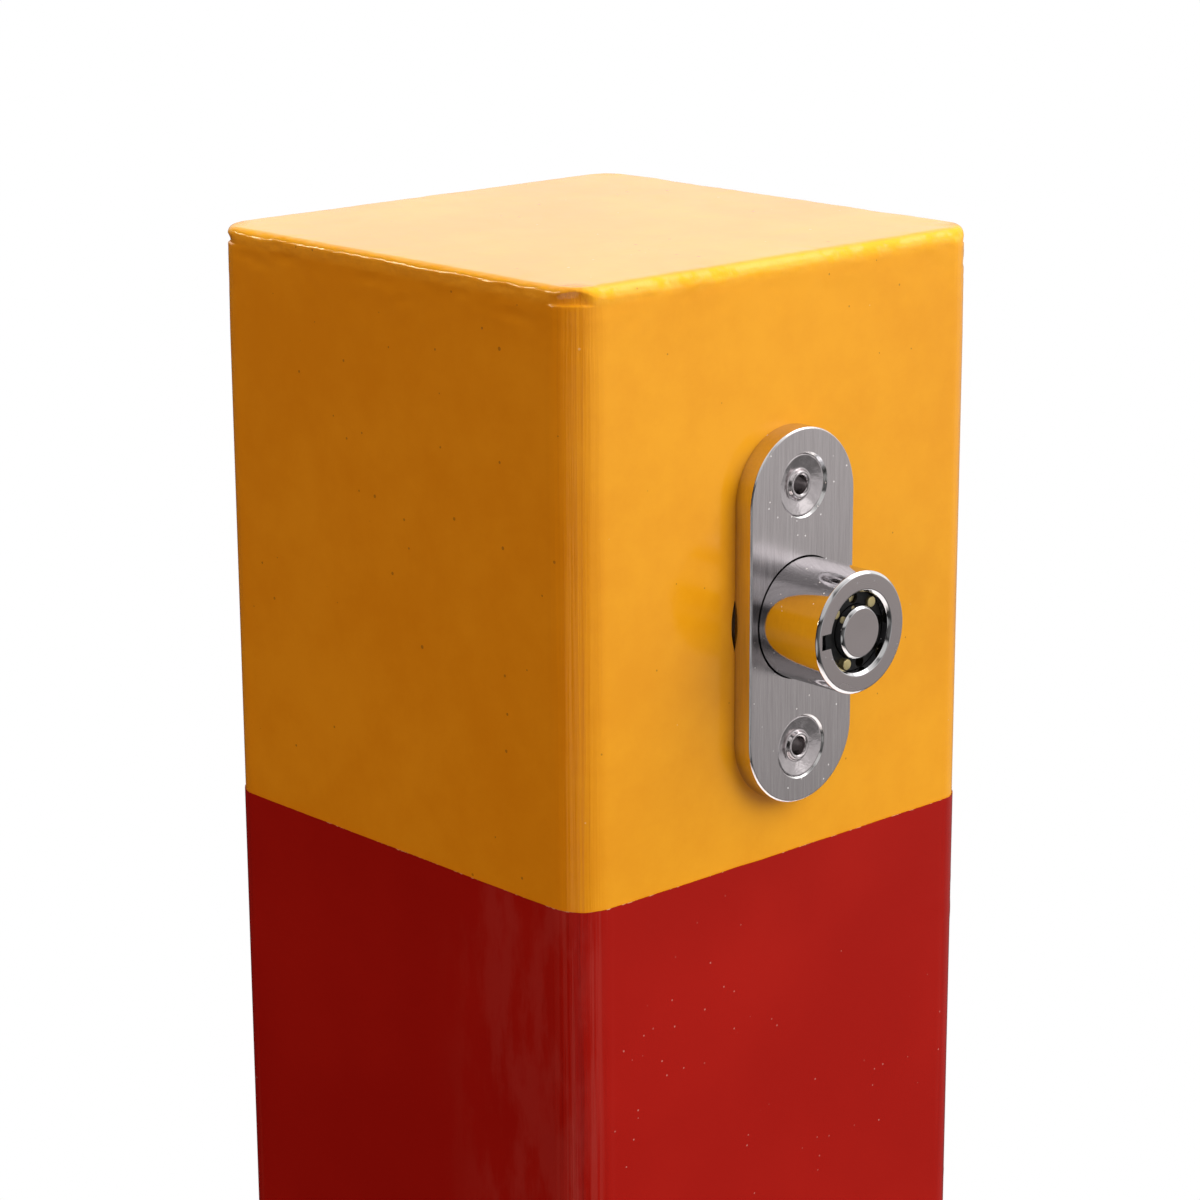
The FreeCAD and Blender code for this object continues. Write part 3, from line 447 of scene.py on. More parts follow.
# %% Keyway materials
def moulded(name, dark, pale, scale, gloss_low, gloss_high, bump, metallic=0.0):
    material, tree, shader, spot = new_material(name)
    uneven = noise_of(spot, scale, 4.0, 0.6)
    marks = use(tree, specks, Scale=scale * 1.4, Share=0.12, Size=0.3)["Mask"]
    colour = layer(blend_of(uneven, dark, pale), marks, 0.3, pale)
    gloss = ramp_of(uneven, 0.3, 0.7, gloss_low, gloss_high)
    finish_with(tree, shader, uneven, bump, Base_Color=colour, Roughness=gloss, Metallic=metallic)
    return material


black_ring = moulded("black_ring", linear(5, 5, 6), linear(15, 14, 14), 1200.0, 0.5, 0.7, 0.00002)
brass = moulded("brass", linear(226, 202, 134), linear(248, 234, 186), 1500.0, 0.34, 0.5, 0.00001, 1.0)
print("keyway materials ready")

# %% [markdown]
# ## Mesh helpers
# Most of the visible pieces are lofts: rings of points that are joined row by row. A rounded square gives
# the post and its bands, a circle gives turned pieces, and a stadium gives the shield plate. Holes are cut
# afterwards with exact booleans, and edges sharper than a given angle keep their crease.

# %% Mesh helpers
def circle(steps):
    """Cosine and sine of evenly spaced turns."""
    turns = [2 * math.pi * step / steps for step in range(steps)]
    return [(math.cos(turn), math.sin(turn)) for turn in turns]


def skin_mesh(name, points, faces):
    mesh = bpy.data.meshes.new(name)
    mesh.from_pydata(points, [], faces)
    shell = bmesh.new()
    shell.from_mesh(mesh)
    bmesh.ops.recalc_face_normals(shell, faces=shell.faces)
    shell.to_mesh(mesh)
    shell.free()
    piece = bpy.data.objects.new(name, mesh)
    bpy.context.scene.collection.objects.link(piece)
    return piece


def loft(rows, closed=False):
    """Faces between rings of equal length; an open loft is capped at both ends."""
    count = len(rows[0])
    faces = []
    for row in range(len(rows) if closed else len(rows) - 1):
        here, there = row * count, (row + 1) % len(rows) * count
        for step in range(count):
            after = (step + 1) % count
            faces.append((here + step, here + after, there + after, there + step))
    if not closed:
        faces.append(tuple(reversed(range(count))))
        faces.append(tuple(range((len(rows) - 1) * count, len(rows) * count)))
    return [point for row in rows for point in row], faces


def lofted(name, rows, closed=False):
    return skin_mesh(name, *loft(rows, closed))


def cut(piece, *cutters):
    """Take the cutters' shapes out of a piece, and remove the cutters."""
    for cutter in cutters:
        modifier = piece.modifiers.new("cut", "BOOLEAN")
        modifier.operation, modifier.solver, modifier.object = "DIFFERENCE", "EXACT", cutter
    graph = bpy.context.evaluated_depsgraph_get()
    carved = bpy.data.meshes.new_from_object(piece.evaluated_get(graph))
    piece.modifiers.clear()
    piece.data = carved
    for cutter in cutters:
        bpy.data.objects.remove(cutter)


def place_piece(piece, material, body, slot_name, *replaced, crease=32):
    """Shade a piece up to an angle in degrees, give it its finish, and say what it rides on and replaces."""
    piece.data.polygons.foreach_set("use_smooth", [True] * len(piece.data.polygons))
    piece.data.set_sharp_from_angle(angle=math.radians(crease))
    piece.data.materials.clear()
    piece.data.materials.append(material)
    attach(piece, body)
    if replaced:
        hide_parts(*replaced)
    print(piece.name, len(piece.data.polygons), "faces, on", body)


def square_ring(half, radius, z, side_steps, corner_steps):
    """A rounded square from above, anticlockwise from the left end of its front side, in millimetres."""
    inner = half - radius
    quarter = [(-inner + 2 * inner * step / side_steps, -half) for step in range(side_steps + 1)]
    for step in range(1, corner_steps):
        angle = math.radians(-90 + 90 * step / corner_steps)
        quarter.append((inner + radius * math.cos(angle), -inner + radius * math.sin(angle)))
    ring = []
    for c, s in ((1, 0), (0, 1), (-1, 0), (0, -1)):
        ring += [Vector((x * c - y * s, x * s + y * c, z)) * MM for x, y in quarter]
    return ring


def turned(profile, steps, centre_z, centre_x=0.0):
    """A profile of (y, radius) in millimetres turned about an axis along Y, as rings of points."""
    return [[Vector((centre_x + radius * c, y, centre_z + radius * s)) * MM for c, s in circle(steps)]
            for y, radius in profile]


def part_of(value, start, length):
    """How far a value has come along a stretch, from nought to one."""
    return min(max((value - start) / length, 0.0), 1.0)


def softened(profile, radius, pieces=3, closed=True):
    """A profile whose corners are rounded, each by the radius or by what its sides allow."""
    result = []
    count = len(profile)
    for index, point in enumerate(profile):
        here = Vector(point)
        if not closed and index in (0, count - 1):
            result.append(tuple(here))
            continue
        before, after = Vector(profile[index - 1]) - here, Vector(profile[(index + 1) % count]) - here
        reach = min(radius, before.length * 0.45, after.length * 0.45)
        start, end = here + before.normalized() * reach, here + after.normalized() * reach
        for step in range(pieces + 1):
            t = step / pieces
            result.append(tuple(start * (1 - t) ** 2 + here * 2 * t * (1 - t) + end * t * t))
    return result


def backed(profile, closed=True, margin=0.1):
    """A profile with extra points near the ends of its long sides, so that they stay flat in the light."""
    result = []
    for index, point in enumerate(profile):
        here, after = Vector(point), Vector(profile[(index + 1) % len(profile)])
        result.append(tuple(here))
        if (after - here).length > 4 * margin and (closed or index < len(profile) - 1):
            side = (after - here).normalized() * margin
            result += [tuple(here + side), tuple(after - side)]
    return result


def rod_cutter(radius, start, end, steps=72):
    """A cylinder between two points in millimetres."""
    start, end = Vector(start), Vector(end)
    axis = (end - start).normalized()
    side = axis.orthogonal().normalized()
    other = axis.cross(side)
    around = [(side * c + other * s) * radius for c, s in circle(steps)]
    return lofted("cutter", [[(point + out) * MM for out in around] for point in (start, end)])


def prism_cutter(outline, half_width):
    """An outline in Y and Z, in millimetres, drawn out along X."""
    rows = [[Vector((x, y, z)) * MM for y, z in outline] for x in (-half_width, half_width)]
    return lofted("cutter", rows)


print("mesh helpers ready")

# %% [markdown]
# ## The painted post
# The tube and the plate on its end carry one coat, so they are one skin. It starts under the plate, runs
# down the inside, turns round the foot and comes up the outside. The weld between tube and plate was ground
# flush along the sides, but at the corners a groove of the seam is left under the plate. The grinding was
# done by hand: the coat follows low waves along the edge and shallow dents under it. The places of the dents
# are drawn with a fixed seed.

# %% Painted post
HALF, CORNER, WALL = 35.0, 5.0, 3.0
FOOT, TUBE_TOP, TOP = 11.0, 898.0, 900.0
EDGE_RADII = {(-1, 0): 1.1, (1, 0): 1.2, (0, -1): 1.8, (0, 1): 1.2}
EDGE_STEPS, PINCH = 12, 0.65
SEAM = ((897.5, 0.0), (897.62, 0.03), (897.72, 0.2), (897.8, 0.38), (897.95, 0.46), (898.2, 0.42),
        (898.5, 0.3), (898.8, 0.14))
SEAM_LOW, SEAM_HEIGHT, SEAM_FROM_X, SEAM_FROM_Y = SEAM[0][0], 1.4, 31.5, 29.5
SIDE_STEPS, CORNER_STEPS = 120, 18
GROUND_FROM, GROUND_TO, GROUND_STEP, FADE_OVER = 886.0, 897.0, 0.5, 9.0
COAT_SINK, NEAR_FACE, HAND_SIDES, HAND_FRONT = 0.1, 2.5, 0.3, 0.1
SLOW_DEPTH, FINE_DEPTH, RAGGED_DEPTH = 0.055, 0.035, 0.014

dice = random.Random(11)
dents = [(0, -20.0, 899.0, 1.0, 0.7, 0.16), (0, -12.0, 899.1, 1.4, 0.7, 0.16),
         (0, 31.5, 899.0, 1.4, 0.8, 0.24), (3, -27.5, 898.9, 0.9, 0.5, 0.1),
         (3, -22.0, 898.8, 1.3, 0.5, 0.1), (3, -15.5, 898.9, 0.8, 0.5, 0.08)]
for face in range(4):
    for _ in range(9):
        along, height = dice.uniform(-33, 33), dice.uniform(894.6, 897.4)
        wide, tall = dice.uniform(1.0, 2.6), dice.uniform(0.3, 0.6)
        deep = dice.uniform(0.04, 0.12) * (0.35 if face == 0 else 1.0)
        dents.append((face, along, height, wide, tall, deep))


def dent_depth(x, y, z):
    """How far the coat lies below the true face, in millimetres."""
    depth = 0.0
    for face, along, height, wide, tall, deep in dents:
        place_along, out = ((x, -y), (y, x), (x, y), (y, -x))[face]
        if out > HALF - NEAR_FACE and abs(z - height) < 4 * tall:
            depth += deep * math.exp(-((place_along - along) / wide) ** 2 - ((z - height) / tall) ** 2)
    return depth


def ground_wave(x, y, z):
    """Slow hand-ground waves with finer ones on them, in millimetres."""
    slow = noise.noise(Vector((x, y, z * 1.6)) * 0.16)
    fine = noise.noise(Vector((x, y, z * 2.0)) * 0.55 + Vector((7, 3, 5)))
    ragged = noise.noise(Vector((x, y, z)) * 1.1 + Vector((2, 9, 4)))
    return SLOW_DEPTH * slow + FINE_DEPTH * fine + RAGGED_DEPTH * ragged


def edge_radius(out):
    """The ground edge is rounder on some sides than on others, and blends round the corners."""
    beside = EDGE_RADII[(-1 if out.x < 0 else 1, 0)] * out.x ** 2
    radius = beside + EDGE_RADII[(0, -1 if out.y < 0 else 1)] * out.y ** 2
    pinched = 4 * (out.x * out.y) ** 2 if out.x < 0 and out.y < 0 else 0.0
    return radius * (1 - PINCH * pinched)


def ground(z, lean=None, seam=0.0):
    """A ring of the head with its dents, waves and seam; lean is how far the edge faces up, in radians."""
    row = square_ring(HALF, CORNER, z, SIDE_STEPS, CORNER_STEPS)
    count = len(row)
    moved = []
    for index, point in enumerate(row):
        along = row[(index + 1) % count] - row[index - 1]
        out = Vector((along.y, -along.x, 0)).normalized()
        hand = (HAND_SIDES * out.x ** 2 + HAND_FRONT * out.y ** 2) * noise.noise(point / MM * 0.14)
        radius = edge_radius(out) * (1 + hand)
        if lean is not None:
            point = point - out * radius * (1 - math.cos(lean)) * MM
            point.z = (TOP - radius * (1 - math.sin(lean))) * MM
        elif z > SEAM_LOW:
            room = TOP - radius - COAT_SINK - SEAM_LOW
            point.z = (SEAM_LOW + (z - SEAM_LOW) * room / SEAM_HEIGHT) * MM
        x, y, z_here = point / MM
        fade = part_of(z_here, GROUND_FROM, FADE_OVER)
        inward = COAT_SINK + dent_depth(x, y, z_here) - ground_wave(x, y, z_here) * fade
        inward = max(inward - COAT_SINK * (1 - fade), 0.0)
        near_corner = min(part_of(abs(y), SEAM_FROM_Y, 3.0), part_of(abs(x), SEAM_FROM_X, 2.0))
        open_seam = 1.0 if x < 0 and y < 0 else 0.7 if x < 0 else 0.25
        inward += seam * open_seam * near_corner * near_corner * (3 - 2 * near_corner)
        direction = out * math.cos(lean or 0.0) + Vector((0, 0, math.sin(lean or 0.0)))
        moved.append(point - direction * inward * MM)
    return moved


ring_steps = (SIDE_STEPS, CORNER_STEPS)
rows = [square_ring(HALF - WALL, CORNER - WALL, z, *ring_steps) for z in (TUBE_TOP, 450.0, FOOT)]
for z in (FOOT, 60.0, 140.0, 300.0, 500.0, 700.0, 800.0, 850.0, 878.0, GROUND_FROM):
    rows.append(square_ring(HALF, CORNER, z, *ring_steps))
z = GROUND_FROM
while z < GROUND_TO:
    z += GROUND_STEP
    rows.append(ground(z))
rows += [ground(z, seam=seam) for z, seam in SEAM]
rows += [ground(TOP, math.radians(90 * step / EDGE_STEPS)) for step in range(EDGE_STEPS + 1)]
edge_row = rows[-1]
for half, radius, share in ((32.5, 3.0, 0.8), (31.5, 2.7, 0.45), (30.1, 2.3, 0.15), (28.4, 1.8, 0.0)):
    flat = square_ring(half, radius, TOP, *ring_steps)
    sunk = [(TOP * MM - edge.z) * share + COAT_SINK * MM * (1 - share) for edge in edge_row]
    rows.append([point - Vector((0, 0, depth)) for point, depth in zip(flat, sunk)])
post_skin = lofted("post_skin", rows)

HINGE_Y, HINGE_Z, BUSH_HOLE = 18.0, 38.0, 10.05
LOCK_HOLE, RIVET_HOLE, RIVET_UP = 9.6, 2.1, 16.8
PAST_BACK, BELOW_FOOT, RELIEF_STEPS = 38.0, 8.0, 16
relief_radius = HINGE_Z - FOOT
relief = [(HINGE_Y, BELOW_FOOT), (PAST_BACK, BELOW_FOOT)]
last = math.asin((HALF - HINGE_Y) / relief_radius)
relief.append((PAST_BACK, HINGE_Z - relief_radius * math.cos(last)))
for step in range(RELIEF_STEPS + 1):
    turn = last * (1 - step / RELIEF_STEPS)
    relief.append((HINGE_Y + relief_radius * math.sin(turn), HINGE_Z - relief_radius * math.cos(turn)))


def front_hole(radius, z, steps):
    return rod_cutter(radius, (0, -HALF - 1, z), (0, -HALF + 5, z), steps)


cut(post_skin, front_hole(LOCK_HOLE, LOCK_Z, 96),
    front_hole(RIVET_HOLE, LOCK_Z + RIVET_UP, 32), front_hole(RIVET_HOLE, LOCK_Z - RIVET_UP, 32),
    rod_cutter(BUSH_HOLE, (-HALF - 2, HINGE_Y, HINGE_Z), (HALF + 2, HINGE_Y, HINGE_Z), 96),
    prism_cutter(relief, HALF + 2))
place_piece(post_skin, yellow_paint, "post", "yellow_paint", "post_tube", "top_cap")

# %% [markdown]
# ## Red bands
# Each band is one length of film wrapped round the post. Its cut edges wander by a tenth of a millimetre,
# and at the corners, where it was stretched, a few blisters and creases stand up. They are real bumps in the
# mesh, because a gloss surface shows them in its reflections.

# %% Red bands
FILM, BLISTER_ROOM, GLUE = 0.2, 0.08, 0.02
BLISTERS, BAND_STEPS, BAND_SIDE_STEPS, WANDER = 46, 150, 14, 0.1
INSIDE = HALF - CORNER


def wrap_band(label, seed):
    low, high = (corner.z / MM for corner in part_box(label))
    dice = random.Random(seed)
    blisters = []
    for _ in range(BLISTERS):
        corner_x, corner_y = dice.choice(((-1, -1), (-1, -1), (1, -1), (1, 1), (-1, 1)))
        angle = math.radians(dice.uniform(0, 90))
        reach_x, reach_y = INSIDE + CORNER * math.cos(angle), INSIDE + CORNER * math.sin(angle)
        middle = Vector((corner_x * reach_x, corner_y * reach_y, dice.uniform(low, high)))
        blisters.append((middle, dice.uniform(0.35, 0.9), dice.uniform(0.02, 0.07)))
    rows = []
    lift = FILM - BLISTER_ROOM
    for step in range(BAND_STEPS + 1):
        z = low + (high - low) * step / BAND_STEPS
        ring = square_ring(HALF + lift, CORNER + lift, z, BAND_SIDE_STEPS, CORNER_STEPS)
        row = []
        for point in ring:
            here = point / MM
            raised = sum(tall * math.exp(-((here - middle).length / wide) ** 2)
                         for middle, wide, tall in blisters if abs(middle.z - here.z) < 3 * wide)
            out = Vector((math.copysign(max(abs(here.x) - INSIDE, 0), here.x),
                          math.copysign(max(abs(here.y) - INSIDE, 0), here.y), 0)).normalized()
            wander = 0.0
            if step in (0, BAND_STEPS):
                uneven = noise.noise(Vector((here.x, here.y, seed)) * 0.5)
                wander = WANDER * uneven - math.copysign(WANDER, step - 1)
            row.append((here + out * min(raised, BLISTER_ROOM) + Vector((0, 0, wander))) * MM)
        rows.append(row)
    edges = (high - FILM, low + FILM)
    inner = [square_ring(HALF + GLUE, CORNER + GLUE, z, BAND_SIDE_STEPS, CORNER_STEPS) for z in edges]
    band = lofted(label + "_film", rows + inner, closed=True)
    place_piece(band, red_film, "post", "red_film", label, crease=40)


for seed, label in enumerate(BANDS, start=3):
    wrap_band(label, seed)

# %% [markdown]
# ## Shield plate
# The plate is a stadium with a narrow rounded edge that catches the light as a thin bright line; its finish
# also paints a paler highlight on that edge. It is lofted from rings along its thickness; the plunger's hole
# and the two countersinks are cut out of it.

# %% Shield plate
SHIELD_BACK, SHIELD_FRONT = -35.0, -37.8
SHIELD_RADIUS, SHIELD_STRAIGHT, SHIELD_BREAK = 9.05, 14.95, 0.2
PLUNGER_HOLE, SINK_MOUTH, SINK_DEPTH = 7.85, 4.15, 2.05


def stadium_ring(radius, y, steps=40):
    ring = []
    for end, start in ((1, 0), (-1, 180)):
        for step in range(steps + 1):
            angle = math.radians(start + 180 * step / steps)
            x, z = radius * math.cos(angle), end * SHIELD_STRAIGHT + radius * math.sin(angle)
            ring.append(Vector((x, y, LOCK_Z + z)) * MM)
    return ring


edge = softened([
    (SHIELD_BACK, 8.0), (SHIELD_BACK, SHIELD_RADIUS), (SHIELD_FRONT + SHIELD_BREAK, SHIELD_RADIUS),
    (SHIELD_FRONT, SHIELD_RADIUS - SHIELD_BREAK), (SHIELD_FRONT, 7.9),
], 0.07, 4, closed=False)
edge = backed(edge, closed=False)
shield = lofted("shield_plate", [stadium_ring(radius, y) for y, radius in edge])


def sink_cutter(z):
    profile = [(SHIELD_FRONT - 0.4, SINK_MOUTH + 0.4), (SHIELD_FRONT, SINK_MOUTH),
               (SHIELD_FRONT + SINK_DEPTH, RIVET_HOLE), (SHIELD_BACK + 0.5, RIVET_HOLE)]
    return lofted("cutter", turned(profile, 96, z))


cut(shield, rod_cutter(PLUNGER_HOLE, (0, -39, LOCK_Z), (0, -34, LOCK_Z), 128),
    sink_cutter(LOCK_Z + RIVET_UP), sink_cutter(LOCK_Z - RIVET_UP))
place_piece(shield, brushed_plate, "post", "brushed_plate", "lock_plate", crease=25)

# %% [markdown]
# ## Rivets
# A blind rivet is a hollow aluminium tube with a dished head. A steel mandrel was pulled through it until it
# broke, which rolled the bore's mouth into a raised lip. Every rivet sets a little differently, so each gets
# its own lean and its own uneven dish.

# %% Rivets
RIVET_FRONT, RIVET_BULGE, RIVET_END = -37.65, -32.0, -28.0
RIVET_BORE, RIVET_SHANK, BULGE_RADIUS = 1.15, 2.0, 2.9
RIVET_HEAD = ((0.04, 3.9), (0.0, 3.72), (0.52, 2.15), (0.5, 1.95), (0.08, 1.72), (0.02, 1.5), (0.2, 1.18),
              (1.0, RIVET_BORE))


def make_rivet(name, z, lean_x, lean_z, seed, shift):
    head = [(RIVET_FRONT + depth, radius) for depth, radius in RIVET_HEAD]
    tail = [(RIVET_END, RIVET_BORE), (RIVET_END, BULGE_RADIUS), (RIVET_BULGE, BULGE_RADIUS),
            (RIVET_BULGE, RIVET_SHANK), (RIVET_FRONT + 1.9, RIVET_SHANK)]
    profile = softened(head + tail, 0.12, 3)
    rings = turned(profile, 96, z)
    for ring, (y, radius) in zip(rings, profile):
        if y < RIVET_FRONT + 0.7:
            for point in ring:
                offset = (point - Vector((0, 0, z)) * MM) / MM
                uneven = 0.05 * noise.noise(Vector((offset.x, offset.z, seed)) * 0.8)
                point.y += (offset.x * lean_x + offset.z * lean_z + max(uneven, -0.03)) * MM
                point.x += shift * MM
    return lofted(name, rings, closed=True)


upper = make_rivet("rivet_upper", LOCK_Z + RIVET_UP, 0.012, 0.010, 3.7, -0.2)
lower = make_rivet("rivet_lower", LOCK_Z - RIVET_UP, -0.006, 0.012, 9.1, -0.05)
place_piece(upper, rivet_alloy, "post", "rivet_alloy", "plate_rivets", crease=40)
place_piece(lower, rivet_alloy, "post", "rivet_alloy", crease=40)

# %% [markdown]
# ## Plunger and keyway
# The plunger is turned, so it is a profile swept round the lock's axis, with narrow chamfers that are rounded
# by a few hundredths of a millimetre. The keyway's notch and the slot for the retaining pin are cut out of
# it. The key post, the dark ring and the brass pins sit inside, and turn with the key.

# %% Plunger and keyway
FACE, KEYWAY_END, WALL_END, PLUNGER_END = -47.8, -36.8, -33.8, -21.8
PLUNGER_RADIUS, KEYWAY_RADIUS, BOLT_HOLE, SPRING_ROOM = 7.7, 5.02, 2.55, 5.7
OUTER_BREAK, INNER_BREAK = 0.36, 0.4
NOTCH_DEPTH, NOTCH_HALF, NOTCH_X = 4.0, 0.95, -5.2
SLOT_FRONT, SLOT_END, SLOT_FLOOR = -36.6, -24.9, 6.6
profile = backed(softened([
    (FACE, KEYWAY_RADIUS + INNER_BREAK), (FACE + INNER_BREAK, KEYWAY_RADIUS), (KEYWAY_END, KEYWAY_RADIUS),
    (KEYWAY_END, BOLT_HOLE), (WALL_END, BOLT_HOLE), (WALL_END, SPRING_ROOM), (PLUNGER_END, SPRING_ROOM),
    (PLUNGER_END, PLUNGER_RADIUS), (FACE + OUTER_BREAK, PLUNGER_RADIUS), (FACE, PLUNGER_RADIUS - OUTER_BREAK),
], 0.07, 3))
plunger = lofted("push_plunger", turned(profile, 192, LOCK_Z), closed=True)


def box_cutter(front, end, low, high, half_width):
    """A box between two places along Y and two heights about the lock's axis."""
    corners = ((front, low), (end, low), (end, high), (front, high))
    return prism_cutter([(y, LOCK_Z + z) for y, z in corners], half_width)


notch = box_cutter(FACE - 1, FACE + NOTCH_DEPTH, -NOTCH_HALF, NOTCH_HALF, 1.7)
notch.location.x = NOTCH_X * MM
cut(plunger, notch, box_cutter(SLOT_FRONT, SLOT_END, SLOT_FLOOR, 9, 1.1))
place_piece(plunger, chrome, "plunger", "chrome", "lock_plunger", crease=28)

CORE_END, KEY_RADIUS, KEY_BREAK = -36.86, 3.35, 0.32
profile = softened([
    (FACE + 0.02, 0.05), (FACE, KEY_RADIUS - KEY_BREAK), (FACE + KEY_BREAK, KEY_RADIUS),
    (CORE_END, KEY_RADIUS), (CORE_END, 0.05),
], 0.06, 3, closed=False)
key_post = lofted("key_post", turned(backed(profile, closed=False), 128, LOCK_Z))
place_piece(key_post, chrome, "lock_core", "chrome", "core_spindle", crease=28)

RING_FRONT, RING_BORE, RING_RADIUS = FACE + 1.3, 3.41, 4.98
PIN_CIRCLE, PIN_RADIUS, PIN_HOLE = 4.23, 0.69, 0.72
PIN_TURNS = (-118, -75, -35, 7, 50, 93, 140)
PIN_RISES = (0.9, -1.2, -1.0, -1.1, 0.4, -0.4, 0.1)
pin_angles = [math.radians(turn) for turn in PIN_TURNS]
pin_places = [(PIN_CIRCLE * math.cos(a), PIN_CIRCLE * math.sin(a)) for a in pin_angles]
profile = softened([(RING_FRONT, RING_BORE), (RING_FRONT, RING_RADIUS), (CORE_END, RING_RADIUS),
                    (CORE_END, RING_BORE)], 0.1, 2)
dark_ring = lofted("dark_ring", turned(profile, 128, LOCK_Z), closed=True)
ends = [((x, FACE - 0.2, LOCK_Z + z), (x, -36, LOCK_Z + z)) for x, z in pin_places]
cut(dark_ring, *[rod_cutter(PIN_HOLE, start, end, 24) for start, end in ends])
place_piece(dark_ring, black_ring, "lock_core", "black_ring", "core_ring")

points, faces = [], []
for (x, z), rise in zip(pin_places, PIN_RISES):
    tip = RING_FRONT - rise
    outline = [(tip, 0.02), (tip, PIN_RADIUS), (CORE_END, PIN_RADIUS), (CORE_END, 0.02)]
    profile = softened(outline, 0.16, 4, closed=False)
    pin_points, pin_faces = loft(turned(profile, 32, LOCK_Z + z, x))
    faces += [tuple(index + len(points) for index in face) for face in pin_faces]
    points += pin_points
pins = skin_mesh("brass_pins", points, faces)
place_piece(pins, brass, "lock_core", "brass", "tumbler_pins", crease=40)

# %% [markdown]
# ## Springs
# The solids stand for the springs as closed sleeves. The real ones are coils of round wire with closed ends.
# Each is swept along a helix whose pitch is small at both ends.

# %% Springs
CLOSED_TURNS = 0.8


def coil(name, start, along, length, radius, wire, turns):
    """A coil from a point along a direction, in millimetres."""
    start, along = Vector(start), Vector(along)
    side = along.orthogonal().normalized()
    other = along.cross(side)
    steps = int(turns * 40)
    rows = []
    for step in range(steps + 1):
        t = step / steps
        angle = 2 * math.pi * turns * t
        ends = part_of(t * turns, CLOSED_TURNS, turns - 2 * CLOSED_TURNS)
        climb = 0.35 * ends * ends * (3 - 2 * ends) + 0.65 * ends
        rise = wire / 2 + (length - wire) * (0.06 * t + 0.94 * climb)
        out = side * math.cos(angle) + other * math.sin(angle)
        centre = start + along * min(rise, length - wire / 2) + out * radius
        rows.append([(centre + (out * c + along * s) * wire / 2) * MM for c, s in circle(12)])
    return lofted(name, rows)


RETURN_LOW, RETURN_LENGTH = 793.25, 39.8
PUSH_END, PUSH_LENGTH = -11.1, 22.6
return_coil = coil("return_coil", (0, 0, RETURN_LOW), (0, 0, 1), RETURN_LENGTH, 7.4, 1.8, 9.5)
place_piece(return_coil, spring_steel, "post", "spring_steel", "return_spring", crease=60)
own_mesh(return_coil)
push_coil = coil("push_coil", (0, PUSH_END, LOCK_Z), (0, -1, 0), PUSH_LENGTH, 4.85, 1.1, 8.5)
place_piece(push_coil, spring_steel, "post", "spring_steel", "plunger_spring", crease=60)
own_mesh(push_coil)

# %% [markdown]
# ## Weld beads
# The cheeks are welded to the foot plate. A hand weld is a row of overlapping ripples, so each bead is swept
# along the joint with a section that swells and shrinks in small steps.

# %% Weld beads
WELD_START, WELD_LENGTH, WELD_LEG, WELD_STEPS = -20.0, 76.0, 5.0, 152
CHEEK_OUTSIDE, PLATE_TOP = 42.5, 8.0


def weld_bead(name, side):
    rows = []
    for step in range(WELD_STEPS + 1):
        t = step / WELD_STEPS
        y = WELD_START + WELD_LENGTH * t
        end = math.sqrt(max(1 - abs(2 * t - 1) ** 24, 0.02))
        ripple = 0.82 + 0.10 * abs(math.sin(y * 1.55)) + 0.06 * noise.noise(Vector((side, y * 0.3, 2.0)))
        leg = WELD_LEG * end * ripple
        section = [(0.0, 0.0)]
        for k in range(9):
            angle = math.radians(90 * k / 8)
            section.append((leg * math.cos(angle) ** 1.25, leg * math.sin(angle) ** 1.25))
        rows.append([Vector((side * (CHEEK_OUTSIDE + a), y, PLATE_TOP + b)) * MM for a, b in section])
    return lofted(name, rows)


place_piece(weld_bead("weld_bead_left", -1), yellow_paint, "base", "yellow_paint", "cheek_welds", crease=50)
place_piece(weld_bead("weld_bead_right", 1), yellow_paint, "base", "yellow_paint", crease=50)

# %% [markdown]
# ## Edges of the remaining solids
# The other solids have the right shape already, and keep the plain materials that come with the frame. Their
# meshes are left as they are: modifiers join the split points of the mesh, merge the triangles of each flat
# side into one whole face, round the edges a little where the real edge is broken, and shade curves
# smoothly. The shading is weighted so that flat sides stay flat.

# %% Edges of solids
def smoothing(name, angle):
    """A modifier that joins points which lie together, and creases edges that are sharper than an angle."""
    tree = bpy.data.node_groups.new(name, "GeometryNodeTree")
    for way in ("INPUT", "OUTPUT"):
        tree.interface.new_socket(name="Geometry", in_out=way, socket_type="NodeSocketGeometry")
    chain = [tree.nodes.new(kind) for kind in (
        "NodeGroupInput", "GeometryNodeMergeByDistance", "GeometryNodeSetShadeSmooth",
        "GeometryNodeSetShadeSmooth", "NodeGroupOutput")]
    for node, after in zip(chain, chain[1:]):
        tree.links.new(node.outputs[0], after.inputs[0])
    merge, edges = chain[1], chain[3]
    merge.inputs["Distance"].default_value = 0.000002
    turn = tree.nodes.new("GeometryNodeInputMeshEdgeAngle")
    sharp = tree.nodes.new("FunctionNodeCompare")
    sharp.operation = "GREATER_THAN"
    fill(tree, sharp, {0: turn.outputs[0], 1: angle})
    edges.domain = "EDGE"
    fill(tree, edges, {"Selection": sharp.outputs[0], "Shade Smooth": False})
    return tree


